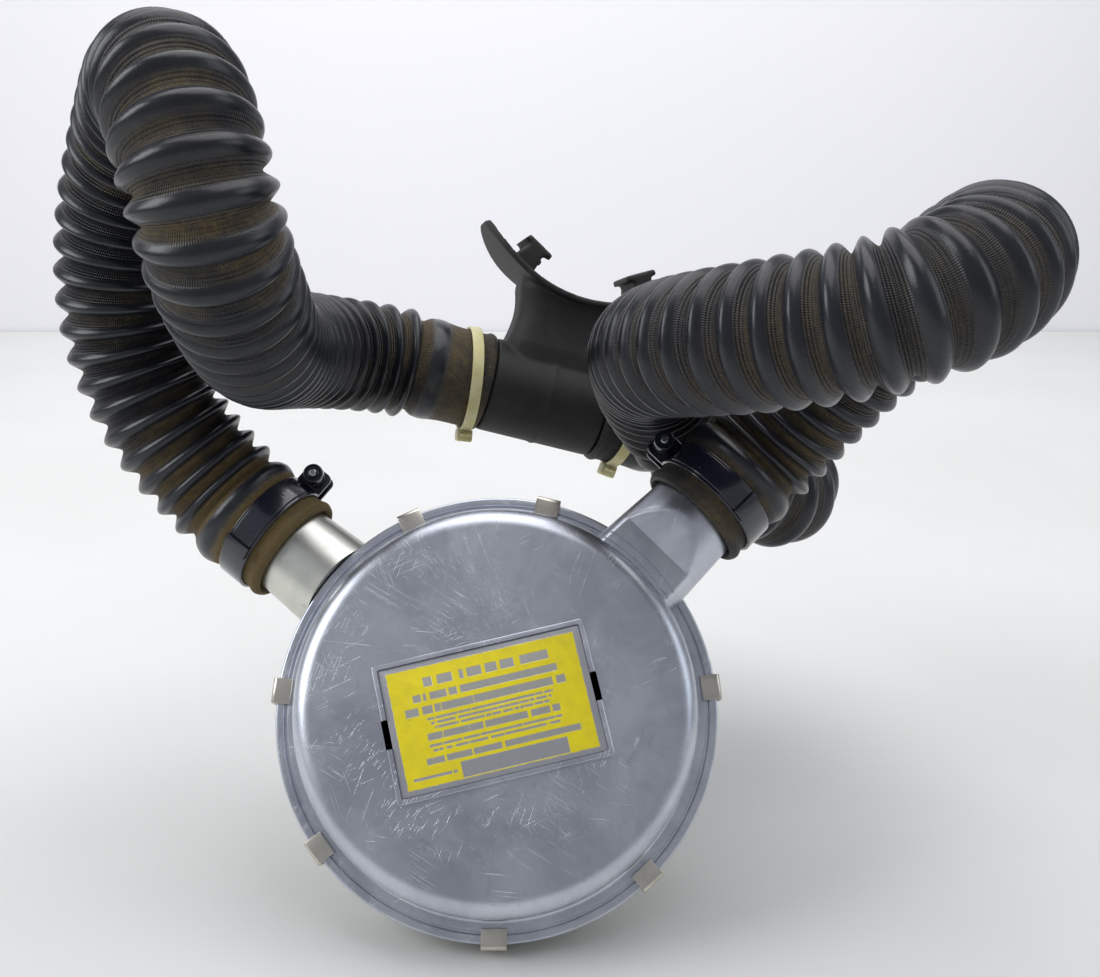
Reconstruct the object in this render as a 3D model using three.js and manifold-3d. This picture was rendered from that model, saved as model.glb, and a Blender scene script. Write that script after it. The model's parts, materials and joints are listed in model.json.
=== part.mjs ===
// Twin-hose single-stage diving regulator, in millimetres, +Z up.
// A round can of two flanged shells leans back on its lowest rim clip and on the knob of its yoke.
// One horn of each shell carries a corrugated hose, and both hoses end at a rubber mouthpiece.
// Pieces of the can are drawn in the can's own frame: z along its axis and out through the front
// cover, x to the right, y up the face, and the middle of the diaphragm at the origin.
import * as THREE from "three";
import { mergeVertices } from "three/addons/utils/BufferGeometryUtils.js";
import Module from "manifold-3d";

const wasm = await Module();
wasm.setup();

// ---- Driving dimensions ----

const GAP = 0.3; // between two pieces that touch
const HINGE_GAP = 0.3; // around a pivot pin

// The two shells of the can
const FLANGE_RADIUS = 79;
const FLANGE_THICKNESS = 2;
const SHELL_WALL = 1.4;
const COVER_RADIUS = 70.5;
const COVER_HEIGHT = 22;
const COVER_FILLET = 7.5;
const BODY_RADIUS = 68;
const BODY_DEPTH = 32;
const BODY_FILLET = 14;

// Horns: where each leaves its shell, and how far its axis stands from the diaphragm
const EXHAUST_HORN_ANGLE = THREE.MathUtils.degToRad(44.5);
const EXHAUST_HORN_OFFSET = 6;
const INTAKE_HORN_ANGLE = THREE.MathUtils.degToRad(141.7);
const INTAKE_HORN_OFFSET = 12;
const HORN_ROOT_RADIUS = 19.3;
const HORN_RADIUS = 17.75;
const HORN_WALL = 1.75;
const HORN_REACH = 99; // from the can's axis to the hose
const SPIGOT_LENGTH = 18; // inside the hose
const FACET_LEVEL = 17; // the exhaust horn's flat front, out to FACET_REACH from the can's axis
const FACET_REACH = 81;
const FACET_END_RISE = 2; // how far before the hose the horn is round again

// Diaphragm and its plate
const DIAPHRAGM_THICKNESS = 1.2;
const DIAPHRAGM_RADIUS = 77.5;
const CONVOLUTION_RADIUS = 50;
const CONVOLUTION_WIDTH = 8;
const CONVOLUTION_HEIGHT = 3;
const PLATE_RADIUS = 42;
const PLATE_THICKNESS = 1.2;

// Rim clips
const CLIP_ANGLES = [115, 76.5, 6, -47, -90, -142, 175];
const CLIP_WIDTH = 9;
const CLIP_THICKNESS = 1.2;
const CLIP_LIP = 6;

// Label and its raised bezel on the cover
const LABEL_WIDTH = 70.7;
const LABEL_HEIGHT = 43.7;
const LABEL_THICKNESS = 0.8;
const LABEL_ANGLE = THREE.MathUtils.degToRad(13.2);
const LABEL_CENTRE = [-0.8, -2.4];
const BEZEL_WIDTH = 1.8;
const BEZEL_HEIGHT = 1.8;
const SLIT_LENGTH = 10;
const SLIT_WIDTH = 2.4;

// Inlet: the valve nozzle that clamps the yoke and the body together
const NOZZLE_RADIUS = 9;
const NOZZLE_TAIL_RADIUS = 7.5;
const NOZZLE_SHOULDER_RADIUS = 14;
const NOZZLE_SHOULDER_THICKNESS = 3;
const NOZZLE_RISE = 10.5; // inside the can
const NOZZLE_TAIL_LENGTH = 16; // from the back of the can to the face that seats on a tank valve
const INLET_BORE_RADIUS = 4.2;
const ORIFICE_RADIUS = 1.6;
const ORIFICE_RISE = 1; // its inner end, above the back of the can
const ORIFICE_LENGTH = 3;
const GUIDE_BORE_RADIUS = 3;
const BODY_NUT_THICKNESS = 3;
const YOKE_NUT_THICKNESS = 4;
const YOKE_NUT_RADIUS = 12;
const JET_RISE = 7.4; // above the back of the can
const JET_BORE_RADIUS = 1.8;
const JET_WALL = 0.8;
const JET_TIP = 34;
const VALVE_BILL_LENGTH = 17;
const VALVE_FOOT_THICKNESS = 2.5;
const SEAT_LENGTH = 5.7;
const STEM_RADIUS = 1;
const FILTER_THICKNESS = 1.2;
const FILTER_RING_THICKNESS = 0.6;
const FILTER_RING_BORE = 2.6;
const SPRING_LENGTH = 5.2;
const SPRING_WIRE_RADIUS = 0.45;
const SPRING_TURNS = 3;
const SPRING_STEPS = 10;

// Levers, with heights above the foot of their bracket
const BRACKET_HALF_WIDTH = 6.8;
const BRACKET_WALL = 1.2;
const BRACKET_HEIGHT = 10.4;
const BRACKET_MARGIN = 1; // beyond the levers' eyes
const PIVOT_PIN_RADIUS = 1;
const PIN_OVERHANG = 0.8;
const LEVER_HALF_WIDTH = 5.2;
const LEVER_THICKNESS = 1.2;
const PRIMARY_PIVOT_AT = 11;
const PRIMARY_PIVOT_HEIGHT = 7.7;
const PRIMARY_TIP = -18;
const PRIMARY_EYE_RADIUS = 2.4;
const HEEL_AT = 4.5;
const HEEL_WIDTH = 2;
const TIP_WIDTH = 2;
const SECONDARY_PIVOT_AT = -9;
const SECONDARY_PIVOT_HEIGHT = 5.4;
const SECONDARY_EYE_RADIUS = 2.2;
const SECONDARY_TIP = 6;
const SECONDARY_TOP_HEIGHT = 6;

// Yoke and its screw
const YOKE_PLATE = 5;
const YOKE_HALF_WIDTH = 26;
const YOKE_ARM_WALL = 6;
const YOKE_BAR = 9;
const YOKE_DEPTH = 24;
const YOKE_WAIST = 15;
const YOKE_CORNER = 8;
const YOKE_INNER_CORNER = 4;
const WAIST_LENGTH = 16;
const WAIST_SLOPE = 8;
const VALVE_SPACE = 34; // from the inlet face to the yoke's bar
const SCREW_RADIUS = 5.5;
const SCREW_ADVANCE = 5; // the tip's stand beyond the bar
const KNOB_THICKNESS = 12;
const KNOB_CLEARANCE = 3;
const KNOB_CORE_RADIUS = 12.5;
const KNOB_LOBES = 6;
const KNOB_LOBE_RADIUS = 4.3;
const KNOB_LOBE_CENTRE = 13.4;
const ROD_RECESS = 2; // the screw's rod ends this far inside the knob

// Hoses
const HOSE_RADIUS = 23.75;
const HOSE_BORE_RADIUS = 20.5;
const CUFF_RADIUS = 21;
const CUFF_LENGTH = 25;
const HOSE_SIDES = 10;
const HOSE_STEPS = 30;

// Hose clamps
const BAND_WIDTH = 11;
const BAND_THICKNESS = 1.2;
const BAND_REACH = 112; // from the can's axis to the band's middle
const EAR_HEIGHT = 8;
const EAR_SPREAD = 2.2;
const CLAMP_SCREW_RADIUS = 1.5;
const CLAMP_HEAD_RADIUS = 3.6;
const CLAMP_HEAD_LENGTH = 3;
const CLAMP_NUT_RADIUS = 3.8;
const CLAMP_NUT_LENGTH = 6;
const CLAMP_SCREW_STAND = 0.8; // the screw's end stands out of its nut

// Cable ties
const TIE_WIDTH = 4.8;
const TIE_THICKNESS = 1.3;
const TIE_TILT = THREE.MathUtils.degToRad(8);
const INTAKE_TIE_FROM_LIP = 7.5;
const EXHAUST_TIE_FROM_LIP = 15;
const TIE_HEAD_WIDTH = 6.8;
const TIE_HEAD_LENGTH = 8;
const TIE_HEAD_HEIGHT = 4.5;

// Mouthpiece: its tube runs along its own x, and its neck rises along its own z
const MOUTHPIECE_CENTRE = new THREE.Vector3(15, 139, 85.5); // from the can's centre
const MOUTHPIECE_TUBE_DIRECTION = new THREE.Vector3(0.95, 0.16, -0.28);
const MOUTHPIECE_NECK_DIRECTION = new THREE.Vector3(0.3, 0.28, 0.91);
const TEE_HALF_LENGTH = 25.7;
const TEE_RADIUS = 20.5;
const SPIGOT_WALL = 2.25;
const TEE_SPIGOT = 20;
const NECK_OFFSET = 2.5;
const NECK_WIDTH = 46;
const NECK_DEPTH = 29;
const NECK_CORNER = 10;
const NECK_WALL = 4;
const LIP_OFFSET = 5.5;
const LIP_LEVEL = 42.8;
const LIP_CURVE_RADIUS = 62;
const LIP_HALF_SPAN = 50;
const LIP_DEPTH = 38;
const LIP_THICKNESS = 2.4;
const LIP_STEPS = 8;
const LUG_AT = 30.5;
const LUG_WIDTH = 12;
const LUG_DEPTH = 20;
const LUG_HEIGHT = 13;
const CAGE_LENGTH = 4;
const CAGE_RIM = 3;
const CAGE_BAR = 2;
const CAGE_STEM_RADIUS = 1.5;
const CAGE_CAP_RADIUS = 2.6;
const CAGE_CAP_THICKNESS = 1;
const INTAKE_CAGE_DEPTH = 14; // inside the lip of its hose
const EXHAUST_CAGE_DEPTH = 6;
const FLAP_MARGIN = 1;
const FLAP_THICKNESS = 1;
const FLAP_LIFT = 1.5;

// Route of each hose from its cuff on the can to its cuff on the mouthpiece,
// as points on its middle line measured from the can's centre.
const INTAKE_ROUTE = [
  [-109, 55, 69], [-121, 56, 83], [-131, 57, 100], [-138, 58, 119], [-140, 57, 138],
  [-138, 55, 157], [-133, 51, 176], [-125, 44, 194], [-116, 32, 208], [-107, 15, 215],
  [-98, -3, 212], [-91, -17, 199], [-86, -22, 181], [-84, -16, 162], [-83, 0, 146],
  [-84, 20, 134], [-85, 41, 126], [-86, 62, 121], [-84, 82, 117], [-78, 101, 113],
  [-67, 116, 109], [-51, 126, 105],
];
const EXHAUST_ROUTE = [
  [101, 45, 89], [113, 42, 104], [126, 35, 121], [140, 27, 137], [152, 15, 151],
  [160, 0, 161], [157, -20, 163], [146, -38, 159], [131, -47, 154], [114, -45, 148],
  [96, -36, 143], [78, -22, 138], [65, -4, 133], [58, 17, 128], [56, 39, 122],
  [57, 61, 115], [60, 81, 104], [67, 96, 91], [76, 103, 78], [87, 106, 67],
  [99, 107, 57], [112, 111, 49], [122, 120, 46], [126, 134, 48], [121, 149, 53],
  [110, 160, 59], [94, 163, 64], [78, 157, 67],
];

// ---- Values that follow from them ----

const flangeSeat = DIAPHRAGM_THICKNESS / 2 + GAP; // inner face of either flange
const flangeBack = flangeSeat + FLANGE_THICKNESS;
const clipInner = flangeBack + GAP;
const clipOuter = clipInner + CLIP_THICKNESS;
const clipRadius = FLANGE_RADIUS + 2 * GAP + CLIP_THICKNESS;
const bodyBack = -BODY_DEPTH;
const nozzleFront = bodyBack + NOZZLE_RISE;
const inletFace = bodyBack - NOZZLE_TAIL_LENGTH;
const orificeInner = bodyBack + ORIFICE_RISE;
const orificeOuter = orificeInner - ORIFICE_LENGTH;
const jetLevel = bodyBack + JET_RISE;
const bracketBase = nozzleFront + GAP;
const bracketTop = bracketBase + BRACKET_HEIGHT;
const primaryPivot = [PRIMARY_PIVOT_AT, bracketBase + PRIMARY_PIVOT_HEIGHT];
const secondaryPivot = [SECONDARY_PIVOT_AT, bracketBase + SECONDARY_PIVOT_HEIGHT];
const secondaryTop = bracketBase + SECONDARY_TOP_HEIGHT;
const shoulderFront = bodyBack - GAP;
const shoulderBack = shoulderFront - NOZZLE_SHOULDER_THICKNESS;
const yokeFront = shoulderBack - GAP;
const yokeNutFront = yokeFront - YOKE_PLATE - GAP;
const barInner = inletFace - VALVE_SPACE;
const barOuter = barInner - YOKE_BAR;
const knobInner = barOuter - KNOB_CLEARANCE;
const knobOuter = knobInner - KNOB_THICKNESS;
const jetStart = NOZZLE_RADIUS + GAP;
const stemTop = secondaryTop - LEVER_THICKNESS - GAP;
const seatFront = orificeOuter - GAP;
const seatBack = seatFront - SEAT_LENGTH;
const springBack = seatBack - GAP - SPRING_LENGTH;
const plateBack = -DIAPHRAGM_THICKNESS / 2 - GAP - PLATE_THICKNESS;
const bandRadius = CUFF_RADIUS + GAP;
const spigotEnd = HORN_REACH + SPIGOT_LENGTH;
const hoseStart = HORN_REACH + GAP;
const teeLip = TEE_HALF_LENGTH + GAP;
const teeBoreRadius = HORN_RADIUS - SPIGOT_WALL;
const cuffBoreRadius = HORN_RADIUS + 2 * GAP;

// The can leans back until the lowest clip and two lobes of the knob stand on one plane.
const knobStand = KNOB_LOBE_CENTRE * Math.cos(Math.PI / KNOB_LOBES) + KNOB_LOBE_RADIUS;
const lean = Math.atan2(clipRadius - knobStand, -knobOuter - clipOuter);

// ---- Tools for solids ----

function solid(geometry) {
  const plain = geometry.index ? geometry.toNonIndexed() : geometry.clone();
  plain.deleteAttribute("normal");
  plain.deleteAttribute("uv");
  const merged = mergeVertices(plain, 1e-4);
  return new wasm.Manifold(new wasm.Mesh({
    numProp: 3,
    vertProperties: merged.attributes.position.array,
    triVerts: new Uint32Array(merged.index.array),
  }));
}

function geometryOf(manifold) {
  const mesh = manifold.getMesh();
  const geometry = new THREE.BufferGeometry();
  geometry.setAttribute("position", new THREE.BufferAttribute(mesh.vertProperties, 3));
  geometry.setIndex(new THREE.BufferAttribute(mesh.triVerts, 1));
  return geometry;
}

function joined(...geometries) {
  return geometries.map(solid).reduce((whole, piece) => whole.add(piece));
}

function minus(whole, ...cutters) {
  return cutters.map(solid).reduce((rest, cutter) => rest.subtract(cutter), whole);
}

// A turned piece about z, from [radius, level] pairs that run anticlockwise round its section.
function turned(section, sides = 20) {
  const points = section.map(([radius, level]) => new THREE.Vector2(radius, level));
  const geometry = new THREE.LatheGeometry(points, sides);
  geometry.rotateX(Math.PI / 2);
  return geometry;
}

function disc(radius, low, high, sides = 20) {
  return turned([[0, low], [radius, low], [radius, high], [0, high]], sides);
}

function ring(inner, outer, low, high, sides = 20) {
  const section = [[inner, low], [outer, low], [outer, high], [inner, high], [inner, low]];
  return turned(section, sides);
}

function arc(centreX, centreY, radius, from, to, steps) {
  return Array.from({ length: steps + 1 }, (_, i) => {
    const angle = from + ((to - from) * i) / steps;
    return [centreX + radius * Math.cos(angle), centreY + radius * Math.sin(angle)];
  });
}

function block(x, y, z) {
  const geometry = new THREE.BoxGeometry(x[1] - x[0], y[1] - y[0], z[1] - z[0]);
  return geometry.translate((x[0] + x[1]) / 2, (y[0] + y[1]) / 2, (z[0] + z[1]) / 2);
}

function outline(points) {
  return new THREE.Shape(points.map(([x, y]) => new THREE.Vector2(x, y)));
}

function slab(shape, thickness) {
  const geometry = new THREE.ExtrudeGeometry(shape, {
    depth: thickness,
    bevelEnabled: false,
    curveSegments: 4,
  });
  return geometry.translate(0, 0, -thickness / 2);
}

// A slab whose outline is drawn on the x and z axes, centred on y.
function sideSlab(points, thickness) {
  return slab(outline(points), thickness).rotateX(Math.PI / 2);
}

function roundedRectangle(width, height, radius) {
  const shape = new THREE.Shape();
  const x = width / 2;
  const y = height / 2;
  shape.moveTo(-x + radius, -y);
  shape.lineTo(x - radius, -y);
  shape.absarc(x - radius, -y + radius, radius, -Math.PI / 2, 0);
  shape.lineTo(x, y - radius);
  shape.absarc(x - radius, y - radius, radius, 0, Math.PI / 2);
  shape.lineTo(-x + radius, y);
  shape.absarc(-x + radius, y - radius, radius, Math.PI / 2, Math.PI);
  shape.lineTo(-x, -y + radius);
  shape.absarc(-x + radius, -y + radius, radius, Math.PI, 1.5 * Math.PI);
  return shape;
}

// Turns a piece drawn about z so that it lies along a direction of the xy plane.
function alongAngle(geometry, angle, level = 0) {
  return geometry.rotateY(Math.PI / 2).rotateZ(angle).translate(0, 0, level);
}

// ---- Materials ----

function material(color, roughness, metalness) {
  return new THREE.MeshStandardMaterial({ color, roughness, metalness });
}

const satinMetal = material(0xb9bdc4, 0.35, 1);
const zincMetal = material(0xb5b29c, 0.4, 1);
const nickel = material(0xc9c4b4, 0.25, 1);
const brass = material(0xb08d4a, 0.35, 1);
const chrome = material(0xd0d2d6, 0.12, 1);
const steel = material(0x9a9da2, 0.3, 1);
const blackRubber = material(0x16171a, 0.5, 0);
const greyRubber = material(0x2a2a2a, 0.8, 0);
const blackClamp = material(0x0c0e16, 0.2, 0.3);
const nylon = material(0xd8d29a, 0.45, 0);
const yellowLabel = material(0xf2de0c, 0.4, 0);
const bronze = material(0x8c6a45, 0.8, 1);
const blackPlastic = material(0x1b1c1f, 0.5, 0);

const assembly = new THREE.Group();
const can = new THREE.Group();
const hoses = new THREE.Group();
const mouthpieceFrame = new THREE.Group();
assembly.add(can, hoses, mouthpieceFrame);

function add(group, name, shape, finish) {
  const geometry = shape.isBufferGeometry ? shape : geometryOf(shape);
  const mesh = new THREE.Mesh(geometry, finish);
  mesh.name = name;
  group.add(mesh);
  return mesh;
}

// ---- The can ----

const CAN_SIDES = 36;
const quarter = Math.PI / 2;

// A flanged shell that opens towards z = 0, with one horn. Its own z points out of the can.
function shell(radius, height, fillet, hornAngle, hornOffset, facetLevel) {
  const innerRadius = radius - SHELL_WALL;
  const innerFillet = fillet - SHELL_WALL;
  const outside = arc(radius - fillet, height - fillet, fillet, 0, quarter, 3);
  const inside = arc(radius - fillet, height - fillet, innerFillet, quarter, 0, 3);
  const wall = turned([
    [innerRadius, flangeSeat],
    [FLANGE_RADIUS, flangeSeat],
    [FLANGE_RADIUS, flangeBack],
    [radius, flangeBack],
    ...outside,
    [0, height],
    [0, height - SHELL_WALL],
    ...inside,
    [innerRadius, flangeSeat],
  ], CAN_SIDES);
  const room = turned([
    [0, -height],
    [innerRadius, -height],
    ...inside.slice().reverse(),
    [0, height - SHELL_WALL],
  ], CAN_SIDES);
  const hornRoot = radius - 2 * HORN_WALL;
  const horn = alongAngle(turned([
    [0, hornRoot],
    [HORN_ROOT_RADIUS, hornRoot],
    [HORN_RADIUS, HORN_REACH],
    [HORN_RADIUS, spigotEnd],
    [0, spigotEnd],
  ], 24), hornAngle, hornOffset);
  const passage = alongAngle(turned([
    [0, hornRoot - HORN_WALL],
    [HORN_RADIUS - HORN_WALL, hornRoot - HORN_WALL],
    [HORN_RADIUS - HORN_WALL, spigotEnd + 1],
    [0, spigotEnd + 1],
  ], 24), hornAngle, hornOffset);
  const rimRelief = disc(FLANGE_RADIUS + GAP, -4 * height, flangeSeat, CAN_SIDES);
  const passageFloor = disc(FLANGE_RADIUS + GAP + HORN_WALL, -4 * height, flangeBack, CAN_SIDES);
  const frontTrim = facet(facetLevel, hornOffset, 0);
  const passageTop = facet(facetLevel, hornOffset, HORN_WALL);
  const outerHorn = minus(solid(horn), rimRelief, frontTrim, room);
  const bore = minus(solid(passage), passageFloor, passageTop);
  return solid(wall).add(outerHorn).subtract(bore);
}

// What is cut from a horn's front: level out to FACET_REACH, then rising to the round end.
function facet(level, hornOffset, wall) {
  const high = hornOffset + 2 * HORN_ROOT_RADIUS;
  return turned([
    [0, level - wall],
    [FACET_REACH + wall, level - wall],
    [HORN_REACH - FACET_END_RISE, hornOffset + HORN_ROOT_RADIUS - wall],
    [HORN_REACH - FACET_END_RISE, high],
    [0, high],
  ], CAN_SIDES);
}

function labelPlaced(geometry, level) {
  geometry.translate(0, 0, level);
  return geometry.rotateZ(LABEL_ANGLE).translate(LABEL_CENTRE[0], LABEL_CENTRE[1], 0);
}

function frontCover() {
  const bezelOuter = roundedRectangle(
    LABEL_WIDTH + 2 * (GAP + BEZEL_WIDTH),
    LABEL_HEIGHT + 2 * (GAP + BEZEL_WIDTH),
    2,
  );
  const pocket = roundedRectangle(LABEL_WIDTH + 2 * GAP, LABEL_HEIGHT + 2 * GAP, 1);
  const bezel = labelPlaced(slab(bezelOuter, BEZEL_HEIGHT + SHELL_WALL), COVER_HEIGHT +
    (BEZEL_HEIGHT - SHELL_WALL) / 2);
  const recess = labelPlaced(slab(pocket, 2 * BEZEL_HEIGHT), COVER_HEIGHT + BEZEL_HEIGHT);
  const slitAt = (LABEL_WIDTH + BEZEL_WIDTH) / 2 + GAP;
  const slits = [-1, 1].map((side) => labelPlaced(block(
    [side * slitAt - SLIT_WIDTH / 2, side * slitAt + SLIT_WIDTH / 2],
    [-SLIT_LENGTH / 2, SLIT_LENGTH / 2],
    [-4 * SHELL_WALL, 4 * SHELL_WALL],
  ), COVER_HEIGHT));
  const cup = shell(
    COVER_RADIUS,
    COVER_HEIGHT,
    COVER_FILLET,
    EXHAUST_HORN_ANGLE,
    EXHAUST_HORN_OFFSET,
    FACET_LEVEL,
  );
  return minus(cup.add(solid(bezel)), recess, ...slits);
}

function labelPlate() {
  const plate = slab(roundedRectangle(LABEL_WIDTH, LABEL_HEIGHT, 1), LABEL_THICKNESS);
  return labelPlaced(plate, COVER_HEIGHT + GAP + LABEL_THICKNESS / 2);
}

function rearBody() {
  const cup = shell(
    BODY_RADIUS,
    BODY_DEPTH,
    BODY_FILLET,
    -INTAKE_HORN_ANGLE,
    INTAKE_HORN_OFFSET,
    BODY_DEPTH - GAP,
  );
  return minus(cup, disc(NOZZLE_RADIUS + GAP, BODY_DEPTH / 2, 2 * BODY_DEPTH));
}

function diaphragm() {
  const half = DIAPHRAGM_THICKNESS / 2;
  const inner = CONVOLUTION_RADIUS - CONVOLUTION_WIDTH / 2;
  const outer = CONVOLUTION_RADIUS + CONVOLUTION_WIDTH / 2;
  const rise = CONVOLUTION_HEIGHT;
  return turned([
    [0, -half],
    [inner, -half],
    [CONVOLUTION_RADIUS - 1, rise - half],
    [CONVOLUTION_RADIUS + 1, rise - half],
    [outer, -half],
    [DIAPHRAGM_RADIUS, -half],
    [DIAPHRAGM_RADIUS, half],
    [outer, half],
    [CONVOLUTION_RADIUS + 1, rise + half],
    [CONVOLUTION_RADIUS - 1, rise + half],
    [inner, half],
    [0, half],
  ], CAN_SIDES);
}

function rimClip(angle) {
  const inside = FLANGE_RADIUS + 2 * GAP;
  const lip = clipRadius - CLIP_LIP - CLIP_THICKNESS;
  const channel = sideSlab([
    [lip, -clipOuter],
    [clipRadius, -clipOuter],
    [clipRadius, clipOuter],
    [lip, clipOuter],
    [lip, clipInner],
    [inside, clipInner],
    [inside, -clipInner],
    [lip, -clipInner],
  ], CLIP_WIDTH);
  return channel.rotateZ(THREE.MathUtils.degToRad(angle));
}

// A flat-billed valve: a round foot in the horn and two lips that close on each other.
function exhaustValve() {
  const foot = HORN_RADIUS - HORN_WALL - GAP;
  const start = HORN_REACH;
  const tip = start + VALVE_BILL_LENGTH;
  const bill = sideSlab([
    [start, -foot / 2],
    [tip, -1],
    [tip, 1],
    [start, foot / 2],
  ], 1.5 * foot).rotateZ(EXHAUST_HORN_ANGLE).translate(0, 0, EXHAUST_HORN_OFFSET);
  const base = disc(foot, start, start + VALVE_FOOT_THICKNESS, 24);
  return joined(alongAngle(base, EXHAUST_HORN_ANGLE, EXHAUST_HORN_OFFSET), bill);
}

// ---- The inlet valve, drawn about the can's axis ----

function inletNozzle() {
  const profile = turned([
    [INLET_BORE_RADIUS, inletFace],
    [NOZZLE_TAIL_RADIUS, inletFace],
    [NOZZLE_TAIL_RADIUS, shoulderBack],
    [NOZZLE_SHOULDER_RADIUS, shoulderBack],
    [NOZZLE_SHOULDER_RADIUS, shoulderFront],
    [NOZZLE_RADIUS, shoulderFront],
    [NOZZLE_RADIUS, nozzleFront],
    [GUIDE_BORE_RADIUS, nozzleFront],
    [GUIDE_BORE_RADIUS, orificeInner],
    [ORIFICE_RADIUS, orificeInner],
    [ORIFICE_RADIUS, orificeOuter],
    [INLET_BORE_RADIUS, orificeOuter],
    [INLET_BORE_RADIUS, inletFace],
  ], 24);
  const portHole = disc(JET_BORE_RADIUS, ORIFICE_RADIUS, 2 * NOZZLE_RADIUS, 12);
  const port = alongAngle(portHole, INTAKE_HORN_ANGLE, jetLevel);
  return minus(solid(profile), port);
}

function seatSpring() {
  const radius = INLET_BORE_RADIUS - GAP - SPRING_WIRE_RADIUS;
  const rise = SPRING_LENGTH - 2 * SPRING_WIRE_RADIUS - GAP;
  const steps = SPRING_STEPS * SPRING_TURNS;
  const points = Array.from({ length: steps + 1 }, (_, i) => {
    const angle = (2 * Math.PI * i) / SPRING_STEPS;
    const level = springBack + SPRING_WIRE_RADIUS + GAP / 2 + (rise * i) / steps;
    return new THREE.Vector3(radius * Math.cos(angle), radius * Math.sin(angle), level);
  });
  const wire = outline(arc(0, 0, SPRING_WIRE_RADIUS, 0, 2 * Math.PI, 5).slice(0, -1));
  return new THREE.ExtrudeGeometry(wire, {
    steps,
    bevelEnabled: false,
    extrudePath: new THREE.CatmullRomCurve3(points),
  });
}

function leverBracket() {
  const low = primaryPivot[0] + PRIMARY_EYE_RADIUS + BRACKET_MARGIN;
  const high = -secondaryPivot[0] + SECONDARY_EYE_RADIUS + BRACKET_MARGIN;
  const inner = BRACKET_HALF_WIDTH - BRACKET_WALL;
  const floor = bracketBase + BRACKET_WALL;
  const channel = block(
    [-high, low],
    [-BRACKET_HALF_WIDTH, BRACKET_HALF_WIDTH],
    [bracketBase, bracketTop],
  );
  const hollow = block([-2 * high, 2 * low], [-inner, inner], [floor, 0]);
  const through = 4 * BRACKET_HALF_WIDTH;
  const pivots = [primaryPivot, secondaryPivot];
  const holes = pivots.map((pivot) => pivotCylinder(pivot, HINGE_GAP, through));
  const stemHole = disc(2 * STEM_RADIUS, bracketBase - 1, floor + 1, 12);
  return minus(solid(channel), hollow, stemHole, ...holes);
}

// A cylinder along y through a pivot, larger in radius than the pivot pin by growth.
function pivotCylinder([x, z], growth, length) {
  const radius = PIVOT_PIN_RADIUS + growth;
  const geometry = new THREE.CylinderGeometry(radius, radius, length, 12);
  return geometry.translate(x, 0, z);
}

function primaryLever() {
  const [x, z] = primaryPivot;
  const tipTop = plateBack - GAP;
  const heelFoot = secondaryTop + GAP;
  const eye = arc(x, z, PRIMARY_EYE_RADIUS, -0.6 * Math.PI, 0.45 * Math.PI, 6);
  const profile = sideSlab([
    ...eye,
    [PRIMARY_TIP + TIP_WIDTH / 2, tipTop],
    [PRIMARY_TIP - TIP_WIDTH / 2, tipTop],
    [PRIMARY_TIP - TIP_WIDTH / 2, tipTop - LEVER_THICKNESS],
    [PRIMARY_TIP + TIP_WIDTH / 2, tipTop - LEVER_THICKNESS],
    [HEEL_AT - HEEL_WIDTH / 2, z + LEVER_THICKNESS],
    [HEEL_AT - HEEL_WIDTH / 2, heelFoot],
    [HEEL_AT + HEEL_WIDTH / 2, heelFoot],
    [HEEL_AT + HEEL_WIDTH, z],
  ], 2 * LEVER_HALF_WIDTH);
  return minus(solid(profile), pivotCylinder(primaryPivot, HINGE_GAP, 4 * LEVER_HALF_WIDTH));
}

function secondaryLever() {
  const [x, z] = secondaryPivot;
  const eye = arc(x, z, SECONDARY_EYE_RADIUS, 0.1 * Math.PI, 1.85 * Math.PI, 10);
  const profile = sideSlab([
    ...eye,
    [SECONDARY_TIP, secondaryTop - LEVER_THICKNESS],
    [SECONDARY_TIP, secondaryTop],
  ], 2 * LEVER_HALF_WIDTH);
  return minus(solid(profile), pivotCylinder(secondaryPivot, HINGE_GAP, 4 * LEVER_HALF_WIDTH));
}

// ---- The yoke ----

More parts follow.
